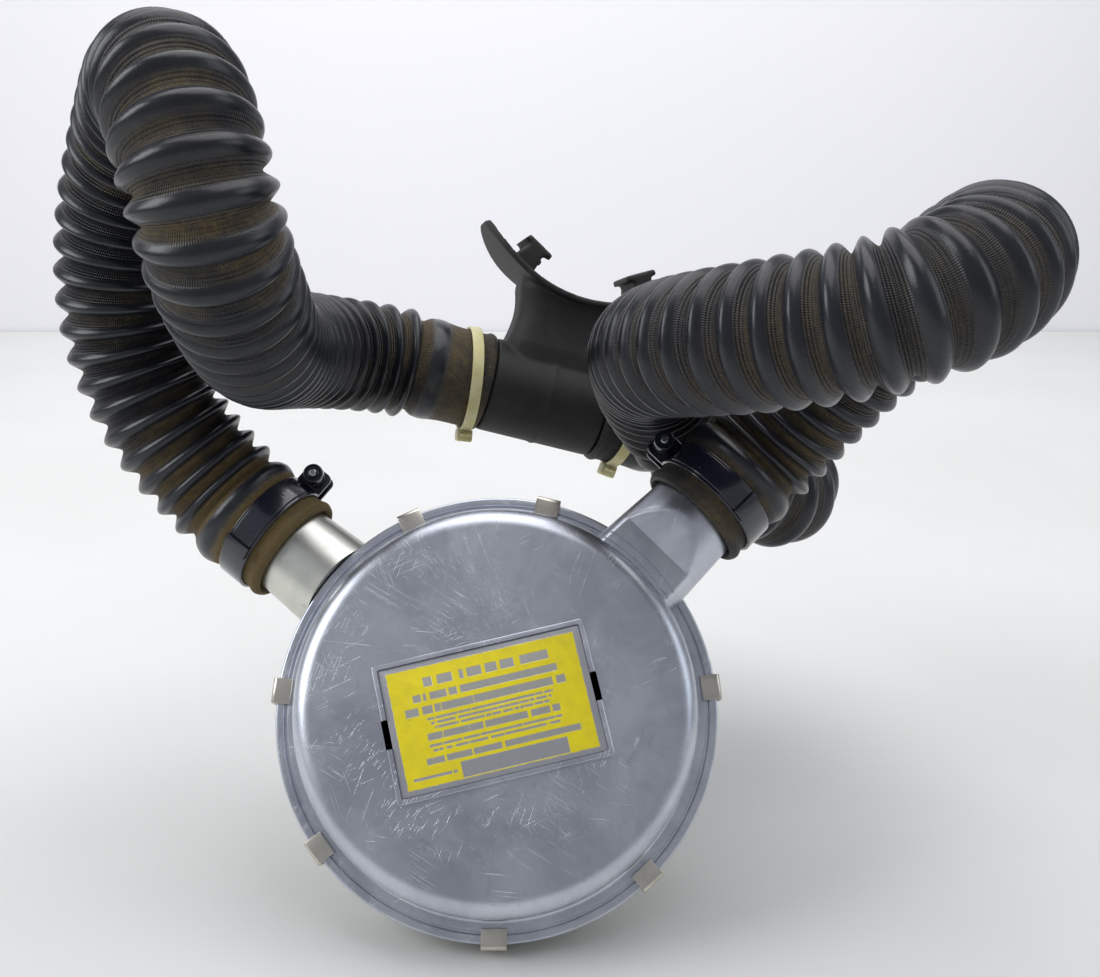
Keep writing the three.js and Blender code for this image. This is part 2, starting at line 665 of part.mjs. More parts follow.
function yoke() {
  const back = barOuter;
  const corner = YOKE_CORNER;
  const innerCorner = YOKE_INNER_CORNER;
  const w = YOKE_HALF_WIDTH;
  const inner = w - YOKE_ARM_WALL;
  const innerFront = yokeFront - YOKE_PLATE;
  const frame = sideSlab([
    ...arc(w - corner, back + corner, corner, -quarter, 0, 4),
    ...arc(w - corner, yokeFront - corner, corner, 0, quarter, 4),
    ...arc(-w + corner, yokeFront - corner, corner, quarter, 2 * quarter, 4),
    ...arc(-w + corner, back + corner, corner, 2 * quarter, 3 * quarter, 4),
  ], YOKE_DEPTH);
  const space = sideSlab([
    ...arc(inner - innerCorner, barInner + innerCorner, innerCorner, -quarter, 0, 3),
    ...arc(inner - innerCorner, innerFront - innerCorner, innerCorner, 0, quarter, 3),
    ...arc(-inner + innerCorner, innerFront - innerCorner, innerCorner, quarter, 2 * quarter, 3),
    ...arc(-inner + innerCorner, barInner + innerCorner, innerCorner, 2 * quarter, 3 * quarter, 3),
  ], 2 * YOKE_DEPTH);
  const middle = (yokeFront + back) / 2;
  const waistCut = (YOKE_DEPTH - YOKE_WAIST) / 2;
  const flanks = [-1, 1].map((side) => {
    const short = WAIST_LENGTH / 2;
    const long = short + WAIST_SLOPE;
    const points = [
      [side * (YOKE_DEPTH / 2), middle - long],
      [side * (YOKE_DEPTH / 2 - waistCut), middle - short],
      [side * (YOKE_DEPTH / 2 - waistCut), middle + short],
      [side * (YOKE_DEPTH / 2), middle + long],
      [side * YOKE_DEPTH, middle + long],
      [side * YOKE_DEPTH, middle - long],
    ];
    const shape = slab(outline(side > 0 ? points.reverse() : points), 4 * w);
    return shape.rotateX(quarter).rotateZ(quarter);
  });
  const nozzleHole = disc(NOZZLE_TAIL_RADIUS + GAP, innerFront - 1, yokeFront + 1, 24);
  const screwHole = disc(SCREW_RADIUS + GAP, back - 1, barInner + 1, 24);
  return minus(solid(frame), space, nozzleHole, screwHole, ...flanks);
}

function knob() {
  const core = disc(KNOB_CORE_RADIUS, knobOuter, knobInner, 24);
  const lobes = Array.from({ length: KNOB_LOBES }, (_, i) => {
    const angle = ((i + 0.5) * 2 * Math.PI) / KNOB_LOBES + quarter;
    return disc(KNOB_LOBE_RADIUS, knobOuter, knobInner, 12).translate(
      KNOB_LOBE_CENTRE * Math.cos(angle),
      KNOB_LOBE_CENTRE * Math.sin(angle),
      0,
    );
  });
  const hole = disc(SCREW_RADIUS + GAP, knobOuter - 1, knobInner + 1, 24);
  return minus(joined(core, ...lobes), hole);
}

// ---- Hose clamps, drawn about z with the band's ears towards +x, the screw along y ----

function clampBand() {
  const outer = bandRadius + BAND_THICKNESS;
  const low = -BAND_WIDTH / 2;
  const high = BAND_WIDTH / 2;
  const band = ring(bandRadius, outer, low, high, 24);
  const split = block([0, 2 * outer], [-EAR_SPREAD, EAR_SPREAD], [2 * low, 2 * high]);
  const ears = [-1, 1].map((side) => {
    const y = [side * EAR_SPREAD, side * (EAR_SPREAD + BAND_THICKNESS)].sort((a, b) => a - b);
    return block([bandRadius, outer + EAR_HEIGHT], y, [low, high]);
  });
  const cuffRoom = disc(bandRadius, 2 * low, 2 * high, 24);
  const openBand = minus(solid(band), split);
  const whole = ears.map(solid).reduce((sum, ear) => sum.add(ear), openBand);
  return minus(whole, cuffRoom, acrossEars(CLAMP_SCREW_RADIUS + GAP, -EAR_HEIGHT, EAR_HEIGHT));
}

// A cylinder along y at the height of the clamp's screw.
function acrossEars(radius, low, high, inner = 0) {
  const shape = inner ? ring(inner, radius, low, high, 12) : disc(radius, low, high, 12);
  return shape.rotateX(-quarter).translate(bandRadius + BAND_THICKNESS + EAR_HEIGHT / 2, 0, 0);
}

const earFace = EAR_SPREAD + BAND_THICKNESS + GAP;

function clampScrew() {
  const shankEnd = earFace + CLAMP_NUT_LENGTH + CLAMP_SCREW_STAND;
  const shank = acrossEars(CLAMP_SCREW_RADIUS, -earFace - GAP, shankEnd);
  const head = acrossEars(CLAMP_HEAD_RADIUS, -earFace - CLAMP_HEAD_LENGTH, -earFace);
  return joined(shank, head);
}

function clampNut() {
  return acrossEars(CLAMP_NUT_RADIUS, earFace, earFace + CLAMP_NUT_LENGTH, CLAMP_SCREW_RADIUS + GAP);
}

// ---- Mouthpiece, in its own frame ----

function lipPoint(x, lift) {
  const reach = LIP_CURVE_RADIUS - lift;
  const angle = Math.asin(x / LIP_CURVE_RADIUS);
  return [
    LIP_OFFSET + reach * Math.sin(angle),
    LIP_LEVEL + LIP_CURVE_RADIUS - reach * Math.cos(angle),
  ];
}

function mouthpiece() {
  const end = teeLip + TEE_SPIGOT;
  const tube = alongAngle(turned([
    [0, -end],
    [HORN_RADIUS, -end],
    [HORN_RADIUS, -TEE_HALF_LENGTH],
    [TEE_RADIUS, -TEE_HALF_LENGTH],
    [TEE_RADIUS, TEE_HALF_LENGTH],
    [HORN_RADIUS, TEE_HALF_LENGTH],
    [HORN_RADIUS, end],
    [0, end],
  ], 24), 0);
  const neckTop = LIP_LEVEL + LIP_THICKNESS;
  const neck = slab(roundedRectangle(NECK_WIDTH, NECK_DEPTH, NECK_CORNER), neckTop);
  neck.translate(NECK_OFFSET, 0, neckTop / 2 + 1);
  const spans = Array.from({ length: LIP_STEPS + 1 }, (_, i) => (2 * i) / LIP_STEPS - 1);
  const under = spans.map((t) => lipPoint(t * LIP_HALF_SPAN, 0));
  const over = spans.map((t) => lipPoint(t * LIP_HALF_SPAN, LIP_THICKNESS)).reverse();
  const lip = sideSlab([...under, ...over], LIP_DEPTH);
  const lugs = [-1, 1].map((side) => {
    const points = [
      lipPoint(side * (LUG_AT - LUG_WIDTH / 2), LIP_THICKNESS / 2),
      lipPoint(side * (LUG_AT + LUG_WIDTH / 2), LIP_THICKNESS / 2),
      lipPoint(side * (LUG_AT + LUG_WIDTH / 2), LUG_HEIGHT),
      lipPoint(side * (LUG_AT - LUG_WIDTH / 2), LUG_HEIGHT),
    ];
    return sideSlab(side > 0 ? points : points.reverse(), LUG_DEPTH);
  });
  const above = spans.map((t) => lipPoint(t * LIP_HALF_SPAN, LIP_THICKNESS / 2));
  const trimTop = [[LIP_HALF_SPAN, 2 * LIP_LEVEL], [-LIP_HALF_SPAN, 2 * LIP_LEVEL]];
  const trim = sideSlab([...above, ...trimTop], NECK_DEPTH * 2);
  const tubeBore = alongAngle(disc(teeBoreRadius, -end - 1, end + 1, 24), 0);
  const mouthWidth = NECK_WIDTH - 2 * NECK_WALL;
  const mouthDepth = NECK_DEPTH - 2 * NECK_WALL;
  const mouth = slab(roundedRectangle(mouthWidth, mouthDepth, NECK_CORNER - NECK_WALL), 2 * LIP_LEVEL);
  mouth.translate(NECK_OFFSET, 0, LIP_LEVEL);
  const stem = minus(joined(tube, neck), trim);
  const soft = [lip, ...lugs].map(solid).reduce((sum, piece) => sum.add(piece), stem);
  return minus(soft, tubeBore, mouth);
}

// A check valve: a spoked cage and the flap that lies on its ring.
function valveCage() {
  const outer = teeBoreRadius - GAP;
  const inner = outer - CAGE_RIM;
  const reach = (inner + outer) / 2;
  const rim = ring(inner, outer, 0, CAGE_LENGTH, 24);
  const low = (CAGE_LENGTH - CAGE_BAR) / 2;
  const bars = [0, quarter].map((angle) => block(
    [-reach, reach],
    [-CAGE_BAR / 2, CAGE_BAR / 2],
    [low, low + CAGE_BAR],
  ).rotateZ(angle));
  const flapTop = CAGE_LENGTH + GAP + FLAP_THICKNESS + FLAP_LIFT + GAP;
  const capMiddle = flapTop + CAGE_CAP_THICKNESS / 2;
  const stem = disc(CAGE_STEM_RADIUS, low + CAGE_BAR / 2, capMiddle, 12);
  const cap = disc(CAGE_CAP_RADIUS, flapTop, flapTop + CAGE_CAP_THICKNESS, 12);
  return joined(rim, ...bars, stem, cap);
}

function valveFlap() {
  const low = CAGE_LENGTH + GAP;
  const outer = teeBoreRadius - GAP - FLAP_MARGIN;
  return ring(CAGE_STEM_RADIUS + GAP, outer, low, low + FLAP_THICKNESS, 24);
}

function cableTie(side, fromLip) {
  const slant = (TIE_WIDTH / 2) * Math.sin(TIE_TILT);
  const inner = CUFF_RADIUS / Math.cos(TIE_TILT) + slant + GAP;
  const outer = inner + TIE_THICKNESS;
  const loop = ring(inner, outer, -TIE_WIDTH / 2, TIE_WIDTH / 2, 24);
  const headHalf = TIE_HEAD_WIDTH / 2;
  const head = block(
    [inner + TIE_THICKNESS / 4, outer + TIE_HEAD_HEIGHT],
    [-TIE_HEAD_LENGTH / 2, TIE_HEAD_LENGTH / 2],
    [-headHalf, headHalf],
  );
  const tie = geometryOf(joined(loop, head));
  tie.rotateY(quarter).rotateY(side * TIE_TILT);
  return tie.translate(side * (teeLip + fromLip), 0, 0);
}

// ---- Hoses ----

function hornDirection(angle) {
  return new THREE.Vector3(Math.cos(angle), Math.sin(angle), 0).transformDirection(can.matrix);
}

// A plain tube with a narrower straight cuff at each end, open right through.
function hose(root, rootDirection, route, end, endDirection) {
  const points = [
    ...[-1, 4].map((s) => root.clone().addScaledVector(rootDirection, CUFF_LENGTH + s)),
    ...route.map((point) => new THREE.Vector3(...point)),
    ...[2, -1].map((s) => end.clone().addScaledVector(endDirection, CUFF_LENGTH + s)),
  ];
  const path = new THREE.CatmullRomCurve3(points, false, "centripetal");
  const section = outline(arc(0, 0, HOSE_RADIUS, 0, 2 * Math.PI, HOSE_SIDES).slice(0, -1));
  const hole = outline(arc(0, 0, HOSE_BORE_RADIUS, 0, 2 * Math.PI, HOSE_SIDES).slice(0, -1));
  section.holes.push(hole);
  const run = new THREE.ExtrudeGeometry(section, {
    steps: HOSE_STEPS,
    bevelEnabled: false,
    extrudePath: path,
  });
  const cuffs = [[root, rootDirection], [end, endDirection]].map(([from, direction]) => {
    const cuff = ring(cuffBoreRadius, CUFF_RADIUS, 0, CUFF_LENGTH, 24);
    const turn = new THREE.Quaternion().setFromUnitVectors(new THREE.Vector3(0, 0, 1), direction);
    return cuff.applyQuaternion(turn).translate(from.x, from.y, from.z);
  });
  return joined(run, ...cuffs);
}

// ---- Put together ----

can.rotation.x = Math.PI / 2 - lean;
can.updateMatrix();

add(can, "front_cover", frontCover(), satinMetal);
add(can, "rear_body", rearBody(), zincMetal).rotation.x = Math.PI;
add(can, "diaphragm", diaphragm(), greyRubber);
const plateDisc = disc(PLATE_RADIUS, plateBack, plateBack + PLATE_THICKNESS);
add(can, "diaphragm_plate", plateDisc, steel);
CLIP_ANGLES.forEach((angle, i) => add(can, `rim_clip_${i + 1}`, rimClip(angle), nickel));
add(can, "label_plate", labelPlate(), yellowLabel);
add(can, "exhaust_valve", exhaustValve(), greyRubber);

add(can, "inlet_nozzle", inletNozzle(), brass);
const nutBack = bodyBack + SHELL_WALL + GAP;
const nutFront = nutBack + BODY_NUT_THICKNESS;
add(can, "body_nut", ring(NOZZLE_RADIUS + GAP, NOZZLE_SHOULDER_RADIUS, nutBack, nutFront, 24), brass);
const jetBore = JET_BORE_RADIUS - GAP;
const jetTube = ring(jetBore, jetBore + JET_WALL, 0, JET_TIP - jetStart, 12);
const jet = alongAngle(jetTube, INTAKE_HORN_ANGLE, jetLevel);
jet.translate(jetStart * Math.cos(INTAKE_HORN_ANGLE), jetStart * Math.sin(INTAKE_HORN_ANGLE), 0);
add(can, "venturi_jet", jet, brass);
add(can, "valve_seat", disc(INLET_BORE_RADIUS - 2 * GAP, seatBack, seatFront, 16), blackPlastic);
add(can, "seat_spring", seatSpring(), steel);
add(can, "push_pin", disc(STEM_RADIUS, seatFront + GAP, stemTop, 12), steel);
const filterBack = springBack - GAP - FILTER_THICKNESS;
const ringBack = filterBack - GAP - FILTER_RING_THICKNESS;
const filterRadius = INLET_BORE_RADIUS - GAP;
const filter = disc(filterRadius, filterBack, filterBack + FILTER_THICKNESS, 16);
add(can, "inlet_filter", filter, bronze);
const snapRing = ring(FILTER_RING_BORE, filterRadius, ringBack, ringBack + FILTER_RING_THICKNESS, 16);
add(can, "filter_ring", snapRing, steel);

add(can, "lever_bracket", leverBracket(), steel);
add(can, "primary_lever", primaryLever(), steel);
add(can, "secondary_lever", secondaryLever(), steel);
const pinLength = 2 * (BRACKET_HALF_WIDTH + PIN_OVERHANG);
add(can, "primary_pivot_pin", pivotCylinder(primaryPivot, 0, pinLength), steel);
add(can, "secondary_pivot_pin", pivotCylinder(secondaryPivot, 0, pinLength), steel);

add(can, "yoke", yoke(), chrome);
const yokeNutBack = yokeNutFront - YOKE_NUT_THICKNESS;
const yokeNutHole = disc(NOZZLE_TAIL_RADIUS + GAP, yokeNutBack - 1, yokeNutFront + 1, 24);
const yokeNutHex = solid(disc(YOKE_NUT_RADIUS, yokeNutBack, yokeNutFront, 6));
add(can, "yoke_nut", minus(yokeNutHex, yokeNutHole), chrome);
const screwRod = disc(SCREW_RADIUS, knobOuter + ROD_RECESS, barInner + SCREW_ADVANCE, 24);
add(can, "yoke_screw", screwRod, chrome);
add(can, "yoke_knob", knob(), blackPlastic);

const clampSides = [
  ["intake", INTAKE_HORN_ANGLE, -INTAKE_HORN_OFFSET, 1],
  ["exhaust", EXHAUST_HORN_ANGLE, EXHAUST_HORN_OFFSET, -1],
];
for (const [side, angle, level, turn] of clampSides) {
  // Each clamp's ears point to the top of the can, and its nut to the front.
  const place = new THREE.Group();
  const outward = new THREE.Vector3(Math.cos(angle), Math.sin(angle), 0);
  const front = new THREE.Vector3(0, 0, 1);
  const across = new THREE.Vector3().crossVectors(outward, front).multiplyScalar(turn);
  const third = new THREE.Vector3().crossVectors(across, front);
  place.matrix.makeBasis(across, front, third);
  place.matrix.setPosition(outward.x * BAND_REACH, outward.y * BAND_REACH, level);
  place.matrix.decompose(place.position, place.quaternion, place.scale);
  can.add(place);
  add(place, `${side}_clamp_band`, clampBand(), blackClamp);
  add(place, `${side}_clamp_screw`, clampScrew(), steel);
  add(place, `${side}_clamp_nut`, clampNut(), blackClamp);
}

const tubeAxis = MOUTHPIECE_TUBE_DIRECTION.clone().normalize();
const neckAxis = MOUTHPIECE_NECK_DIRECTION.clone();
neckAxis.addScaledVector(tubeAxis, -neckAxis.dot(tubeAxis)).normalize();
const depthAxis = new THREE.Vector3().crossVectors(neckAxis, tubeAxis);
mouthpieceFrame.matrix.makeBasis(tubeAxis, depthAxis, neckAxis).setPosition(MOUTHPIECE_CENTRE);
mouthpieceFrame.matrix.decompose(
  mouthpieceFrame.position,
  mouthpieceFrame.quaternion,
  mouthpieceFrame.scale,
);
add(mouthpieceFrame, "mouthpiece", mouthpiece(), blackRubber);
const cages = [
  ["intake", -teeLip - INTAKE_CAGE_DEPTH, -1, INTAKE_TIE_FROM_LIP],
  ["exhaust", teeLip + EXHAUST_CAGE_DEPTH, 1, EXHAUST_TIE_FROM_LIP],
];
for (const [side, at, turn, tieAt] of cages) {
  const cage = alongAngle(geometryOf(valveCage()), 0).translate(at, 0, 0);
  const flap = alongAngle(valveFlap(), 0).translate(at, 0, 0);
  add(mouthpieceFrame, `${side}_valve_cage`, cage, blackPlastic);
  add(mouthpieceFrame, `${side}_valve_flap`, flap, greyRubber);
  add(mouthpieceFrame, `${side}_cable_tie`, cableTie(turn, tieAt), nylon);
}

const hoseEnds = [
  ["intake_hose", INTAKE_HORN_ANGLE, -INTAKE_HORN_OFFSET, INTAKE_ROUTE, -1],
  ["exhaust_hose", EXHAUST_HORN_ANGLE, EXHAUST_HORN_OFFSET, EXHAUST_ROUTE, 1],
];
for (const [name, angle, level, route, side] of hoseEnds) {
  const [x, y] = [hoseStart * Math.cos(angle), hoseStart * Math.sin(angle)];
  const root = new THREE.Vector3(x, y, level);
  root.applyMatrix4(can.matrix);
  const end = MOUTHPIECE_CENTRE.clone().addScaledVector(tubeAxis, side * teeLip);
  const endDirection = tubeAxis.clone().multiplyScalar(side);
  add(hoses, name, hose(root, hornDirection(angle), route, end, endDirection), blackRubber);
}

// The origin is under the middle of everything but the hoses, on the plane it stands on.
assembly.updateMatrixWorld(true);
const extent = new THREE.Box3();
for (const group of [can, mouthpieceFrame]) extent.expandByObject(group, true);
const middle = extent.getCenter(new THREE.Vector3());
assembly.position.set(-middle.x, -middle.y, -extent.min.z);

export default assembly;
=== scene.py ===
# A twin-hose diving regulator on a pale studio floor.
# Pieces of the can are drawn in millimetres in the can's own frame: z along its axis and out
# through the front cover, x to the right, y up the face, the diaphragm's middle at the origin.
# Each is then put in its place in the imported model's frame, in metres.
import json
import math
from contextlib import contextmanager

import bmesh
import bpy
import numpy as np
from mathutils import Matrix, Vector


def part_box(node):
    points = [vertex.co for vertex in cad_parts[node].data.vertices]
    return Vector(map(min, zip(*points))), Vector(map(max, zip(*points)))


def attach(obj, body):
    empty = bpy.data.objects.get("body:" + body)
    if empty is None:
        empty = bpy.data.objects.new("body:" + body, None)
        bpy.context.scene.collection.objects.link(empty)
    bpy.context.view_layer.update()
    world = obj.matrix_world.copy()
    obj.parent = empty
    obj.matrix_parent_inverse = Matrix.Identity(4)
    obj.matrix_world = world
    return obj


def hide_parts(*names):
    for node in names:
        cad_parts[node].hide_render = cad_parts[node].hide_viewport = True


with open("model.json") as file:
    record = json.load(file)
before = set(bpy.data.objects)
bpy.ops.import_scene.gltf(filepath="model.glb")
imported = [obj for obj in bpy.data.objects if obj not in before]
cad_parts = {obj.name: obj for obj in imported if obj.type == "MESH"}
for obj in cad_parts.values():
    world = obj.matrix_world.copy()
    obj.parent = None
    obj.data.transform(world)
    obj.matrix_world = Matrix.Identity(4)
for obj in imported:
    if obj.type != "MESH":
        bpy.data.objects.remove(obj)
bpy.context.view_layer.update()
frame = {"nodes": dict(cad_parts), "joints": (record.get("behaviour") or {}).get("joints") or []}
MM = 0.001

# ---- Sizes, in millimetres ----

FLANGE_RADIUS = 79
FLANGE_SEAT = 0.9
FLANGE_BACK = 2.9
SHELL_WALL = 1.4
COVER_RADIUS, COVER_HEIGHT, COVER_FILLET = 70.5, 22, 7.5
BODY_RADIUS, BODY_DEPTH, BODY_FILLET = 68, 32, 14
CROWN = 0.7  # how much higher the middle of a shell's face is than its rim

EXHAUST_ANGLE, EXHAUST_LEVEL = math.radians(44.5), 6
INTAKE_ANGLE, INTAKE_LEVEL = math.radians(141.7), -12
HORN_ROOT, HORN_RADIUS, HORN_WALL = 19.3, 17.75, 1.75
HORN_MOUTH, SPIGOT_END = 99, 117
FACET_LEVEL, FACET_REACH, FACET_END = 11, 81, 97  # level above the horn's own axis

HOSE_RADIUS, HOSE_VALLEY, HOSE_BORE = 23.75, 19.5, 18.2
FOLD_PITCH = 9.2
CUFF_RADIUS, CUFF_LENGTH = 21, 33.5
CLEARANCE = 0.3
HOSE_START = HORN_MOUTH + CLEARANCE
BAND_REACH, BAND_WIDTH, BAND_THICKNESS = 112, 11, 1.2
BAND_RADIUS = 21.3

LABEL_SIZE, LABEL_ANGLE, LABEL_CENTRE = (70.7, 43.7), math.radians(13.2), (-0.8, -2.4)
CLIP_ANGLES = (115, 76.5, 6, -47, -90, -142, 175)

TEE_HALF, TEE_RADIUS, TEE_END = 25.7, 20.5, 46
TEE_BORE = HORN_RADIUS - 2.25  # the spigot's wall
LIP_HALF, LIP_THICKNESS = 49.5, 2.6
LUG_HALF = 12
TIE_TILT, TIE_HALF = math.radians(8), 2.4
NECK_OFFSET, LIP_OFFSET, LIP_LEVEL, LIP_CURVE = 2.5, 5.5, 42.8, 62

MOUTH_PLACE = (15, 139, 85.5)  # the tube's middle from the can's, along the model's axes
NECK_LEAN = (0.3, 0.28, 0.91)

# ---- Frames ----

joints = {joint["name"]: joint for joint in frame["joints"]}
can_z = -Vector(joints["diaphragm_travel"]["axis"])
can_x = Vector((1, 0, 0))
can_y = can_z.cross(can_x)
plate_low, plate_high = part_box("diaphragm_plate")
PLATE_MIDDLE = -1.5  # the plate lies a little behind the diaphragm
can_middle = (plate_low + plate_high) / 2 - can_z * PLATE_MIDDLE * MM


def frame_of(origin, x_axis, y_axis, z_axis):
    """The matrix that takes millimetres in a piece's own frame to metres in the model's."""
    turn = Matrix((x_axis, y_axis, z_axis)).transposed().to_4x4()
    return Matrix.Translation(origin) @ turn @ Matrix.Scale(MM, 4)


CAN = frame_of(can_middle, can_x, can_y, can_z)
tube_axis = Vector(joints["intake_flap_lift"]["axis"]).normalized()
neck_axis = Vector(NECK_LEAN)
neck_axis = (neck_axis - tube_axis * neck_axis.dot(tube_axis)).normalized()
mouth_middle = can_middle + Vector(MOUTH_PLACE) * MM
MOUTHPIECE = frame_of(mouth_middle, tube_axis, neck_axis.cross(tube_axis), neck_axis)

# ---- Camera ----

CAMERA_FROM_CAN, CAMERA_DIP = (0.01903, -0.4102, 0.2016), 16.1  # metres and degrees

camera_data = bpy.data.cameras.new("camera")
camera_data.lens, camera_data.sensor_width = 41.0, 36
camera = bpy.data.objects.new("camera", camera_data)
camera.location = can_middle + Vector(CAMERA_FROM_CAN)
camera.rotation_euler = (math.radians(90 - CAMERA_DIP), 0, 0)
bpy.context.scene.collection.objects.link(camera)
bpy.context.scene.camera = camera


# ---- Node trees written as expressions ----


def maths(operation, swapped=False):
    """A method of Value that adds one Math node."""

    def method(self, other=0.0):
        first, second = (other, self) if swapped else (self, other)
        inputs = {0: first, 1: second}
        return self.graph.make("ShaderNodeMath", inputs, {"operation": operation})

    return method


class Value:
    """An output socket that can be reckoned with."""

    def __init__(self, graph, socket):
        self.graph = graph
        self.socket = socket

    __add__ = __radd__ = maths("ADD")
    __mul__ = __rmul__ = maths("MULTIPLY")
    __sub__, __rsub__ = maths("SUBTRACT"), maths("SUBTRACT", swapped=True)
    __pow__, __rpow__ = maths("POWER"), maths("POWER", swapped=True)
    __truediv__ = maths("DIVIDE")
    sine, cosine, size = maths("SINE"), maths("COSINE"), maths("ABSOLUTE")
    smallest, largest, angle_from = maths("MINIMUM"), maths("MAXIMUM"), maths("ARCTAN2")

    def bell(self, middle, width):
        """1 at the middle and nearly 0 beyond twice the width."""
        off = (self - middle) / width
        return math.e ** (0.0 - off * off)

    def step(self, low, high):
        """0 up to low, 1 from high, smooth between."""
        inputs = {0: self, 1: low, 2: high, 3: 0.0, 4: 1.0}
        kind = {"interpolation_type": "SMOOTHSTEP"}
        return self.graph.make("ShaderNodeMapRange", inputs, kind)


class Graph:
    """Adds nodes to a shader or geometry tree."""

    def __init__(self, tree):
        self.tree = tree

    def feed(self, socket, value):
        """Links a value or sets a number, vector or (red, green, blue) colour."""
        if isinstance(value, Value):
            self.tree.links.new(value.socket, socket)
        else:
            socket.default_value = (*value, 1.0) if socket.type == "RGBA" else value

    def make(self, kind, inputs=None, settings=None, output=0):
        node = self.tree.nodes.new(kind)
        for name, value in (settings or {}).items():
            setattr(node, name, value)
        for key, value in (inputs or {}).items():
            self.feed(node.inputs[key], value)
        return Value(self, node.outputs[output])


class Finish(Graph):
    """A material in the making, with its one Principled shader."""

    def __init__(self, name, uniform=None):
        self.material = bpy.data.materials.new(name)
        self.material.use_nodes = True
        super().__init__(self.material.node_tree)
        self.shader = self.tree.nodes["Principled BSDF"]
        for socket, value in (uniform or {}).items():
            self.shader.inputs[socket].default_value = value

    def set(self, **values):
        for name, value in values.items():
            self.feed(self.shader.inputs[name.replace("_", " ")], value)

    def done(self, tone, rough, height=None, distance=0.0, **others):
        """Sets what varies over the surface and gives the material."""
        self.set(Base_Color=tone, Roughness=rough, **others)
        if height is not None:
            self.set(Normal=self.bump(height, distance))
        return self.material

    def point(self):
        return self.make("ShaderNodeTexCoord", output="Object")

    def plan(self, turn=0.0, scale=(1, 1, 1)):
        """The piece's own drawing plane in millimetres, turned and then scaled."""
        place = self.make("ShaderNodeUVMap", settings={"uv_map": "plan"})
        place = self.make("ShaderNodeMapping", {0: place, "Rotation": (0, 0, turn)})
        return self.make("ShaderNodeVectorMath", {0: place, 1: scale}, {"operation": "MULTIPLY"})

    def parts(self, vector):
        """A vector's x and y."""
        first = self.make("ShaderNodeSeparateXYZ", {0: vector})
        return first, Value(self, first.socket.node.outputs[1])

    def attribute(self, name, output="Fac"):
        return self.make("ShaderNodeAttribute", None, {"attribute_name": name}, output)

    def noise(self, point, scale, detail=3.0, roughness=0.55, distortion=0.0):
        values = {"Vector": point, "Scale": scale, "Detail": detail}
        values.update({"Roughness": roughness, "Distortion": distortion})
        return self.make("ShaderNodeTexNoise", values)

    def mix(self, factor, first, second):
        inputs = {0: factor, 6: first, 7: second}
        return self.make("ShaderNodeMix", inputs, {"data_type": "RGBA"}, 2)

    def bump(self, height, distance, under=None):
        inputs = {"Height": height, "Distance": distance, "Strength": 1.0}
        if under is not None:
            inputs["Normal"] = under
        return self.make("ShaderNodeBump", inputs)

    def scratches(self, turn, threshold, long=0.045, thin=5.0):
        """Sparse thin lines on the drawing plane, all running one way."""
        lines = self.noise(self.plan(turn, (long, thin, 1)), 1.0, 1.0, 0.4, 0.6)
        where = self.noise(self.plan(turn), 0.035, 2.0)
        return lines.step(threshold, threshold + 0.05) * where.step(0.46, 0.66)


# ---- Finishes ----


def satin_metal():
    """Bare satin sheet metal: cloudy handling marks, a fine grain and many short scratches."""
    finish = Finish("satin_metal", {"Metallic": 1.0})
    clouds = finish.noise(finish.plan(), 0.035, 5.0, 0.62, 0.5)
    stains = finish.noise(finish.plan(0.4), 0.11, 6.0, 0.7, 0.8)
    grain = finish.noise(finish.plan(0, (1, 1, 1)), 2.2, 3.0, 0.7)
    tone = finish.mix(clouds.step(0.3, 0.7), (0.47, 0.50, 0.57), (0.63, 0.66, 0.72))
    tone = finish.mix(stains.step(0.55, 0.78) * 0.45, tone, (0.33, 0.32, 0.38))
    marks = finish.scratches(0.55, 0.69)
    for turn, threshold in ((1.9, 0.70), (2.7, 0.71), (1.2, 0.72), (0.1, 0.73)):
        marks = marks.largest(finish.scratches(turn, threshold))
    short = finish.scratches(2.2, 0.68, 0.16, 6.0).largest(finish.scratches(0.9, 0.69, 0.2, 7.0))
    marks = marks.largest(short * 0.7)
    tone = finish.mix(marks * 0.75, tone, (0.92, 0.93, 0.95))
    rough = 0.27 + clouds * 0.10 + grain * 0.07 - marks * 0.08
    return finish.done(tone, rough, grain * 0.35 + stains * 0.3 - marks, 0.00003)


def zinc_metal():
    """Yellowish passivated plating, streaked and slightly rainbowed."""
    finish = Finish("zinc_metal", {"Metallic": 1.0})
    point = finish.point()
    clouds = finish.noise(point, 38.0, 4.0, 0.6, 0.8)
    spots = finish.noise(point, 160.0, 4.0, 0.65)
    tone = finish.mix(clouds.step(0.3, 0.7), (0.60, 0.61, 0.57), (0.71, 0.71, 0.64))
    tone = finish.mix(spots.step(0.58, 0.75) * 0.5, tone, (0.45, 0.39, 0.24))
    return finish.done(tone, 0.26 + clouds * 0.16 + spots * 0.06, spots, 0.00004)


def plated_metal(name, light, dark, rough, pitted=0.35):
    """Bright plating with small dull pits."""
    finish = Finish(name, {"Metallic": 1.0})
    point = finish.point()
    clouds = finish.noise(point, 90.0, 4.0, 0.6)
    pits = finish.noise(point, 900.0, 3.0, 0.7)
    tone = finish.mix(clouds.step(0.35, 0.7), light, dark)
    tone = finish.mix(pits.step(0.60, 0.72) * pitted, tone, tuple(0.4 * part for part in dark))
    rough = rough + clouds * 0.12 + pits * 0.08
    return finish.done(tone, rough, pits * 0.6 + clouds, 0.00004)


THREADS_AROUND = 84.0  # the woven imprint's threads in a radian
THREADS_ALONG = 4200.0  # and in a metre of hose, as an angle


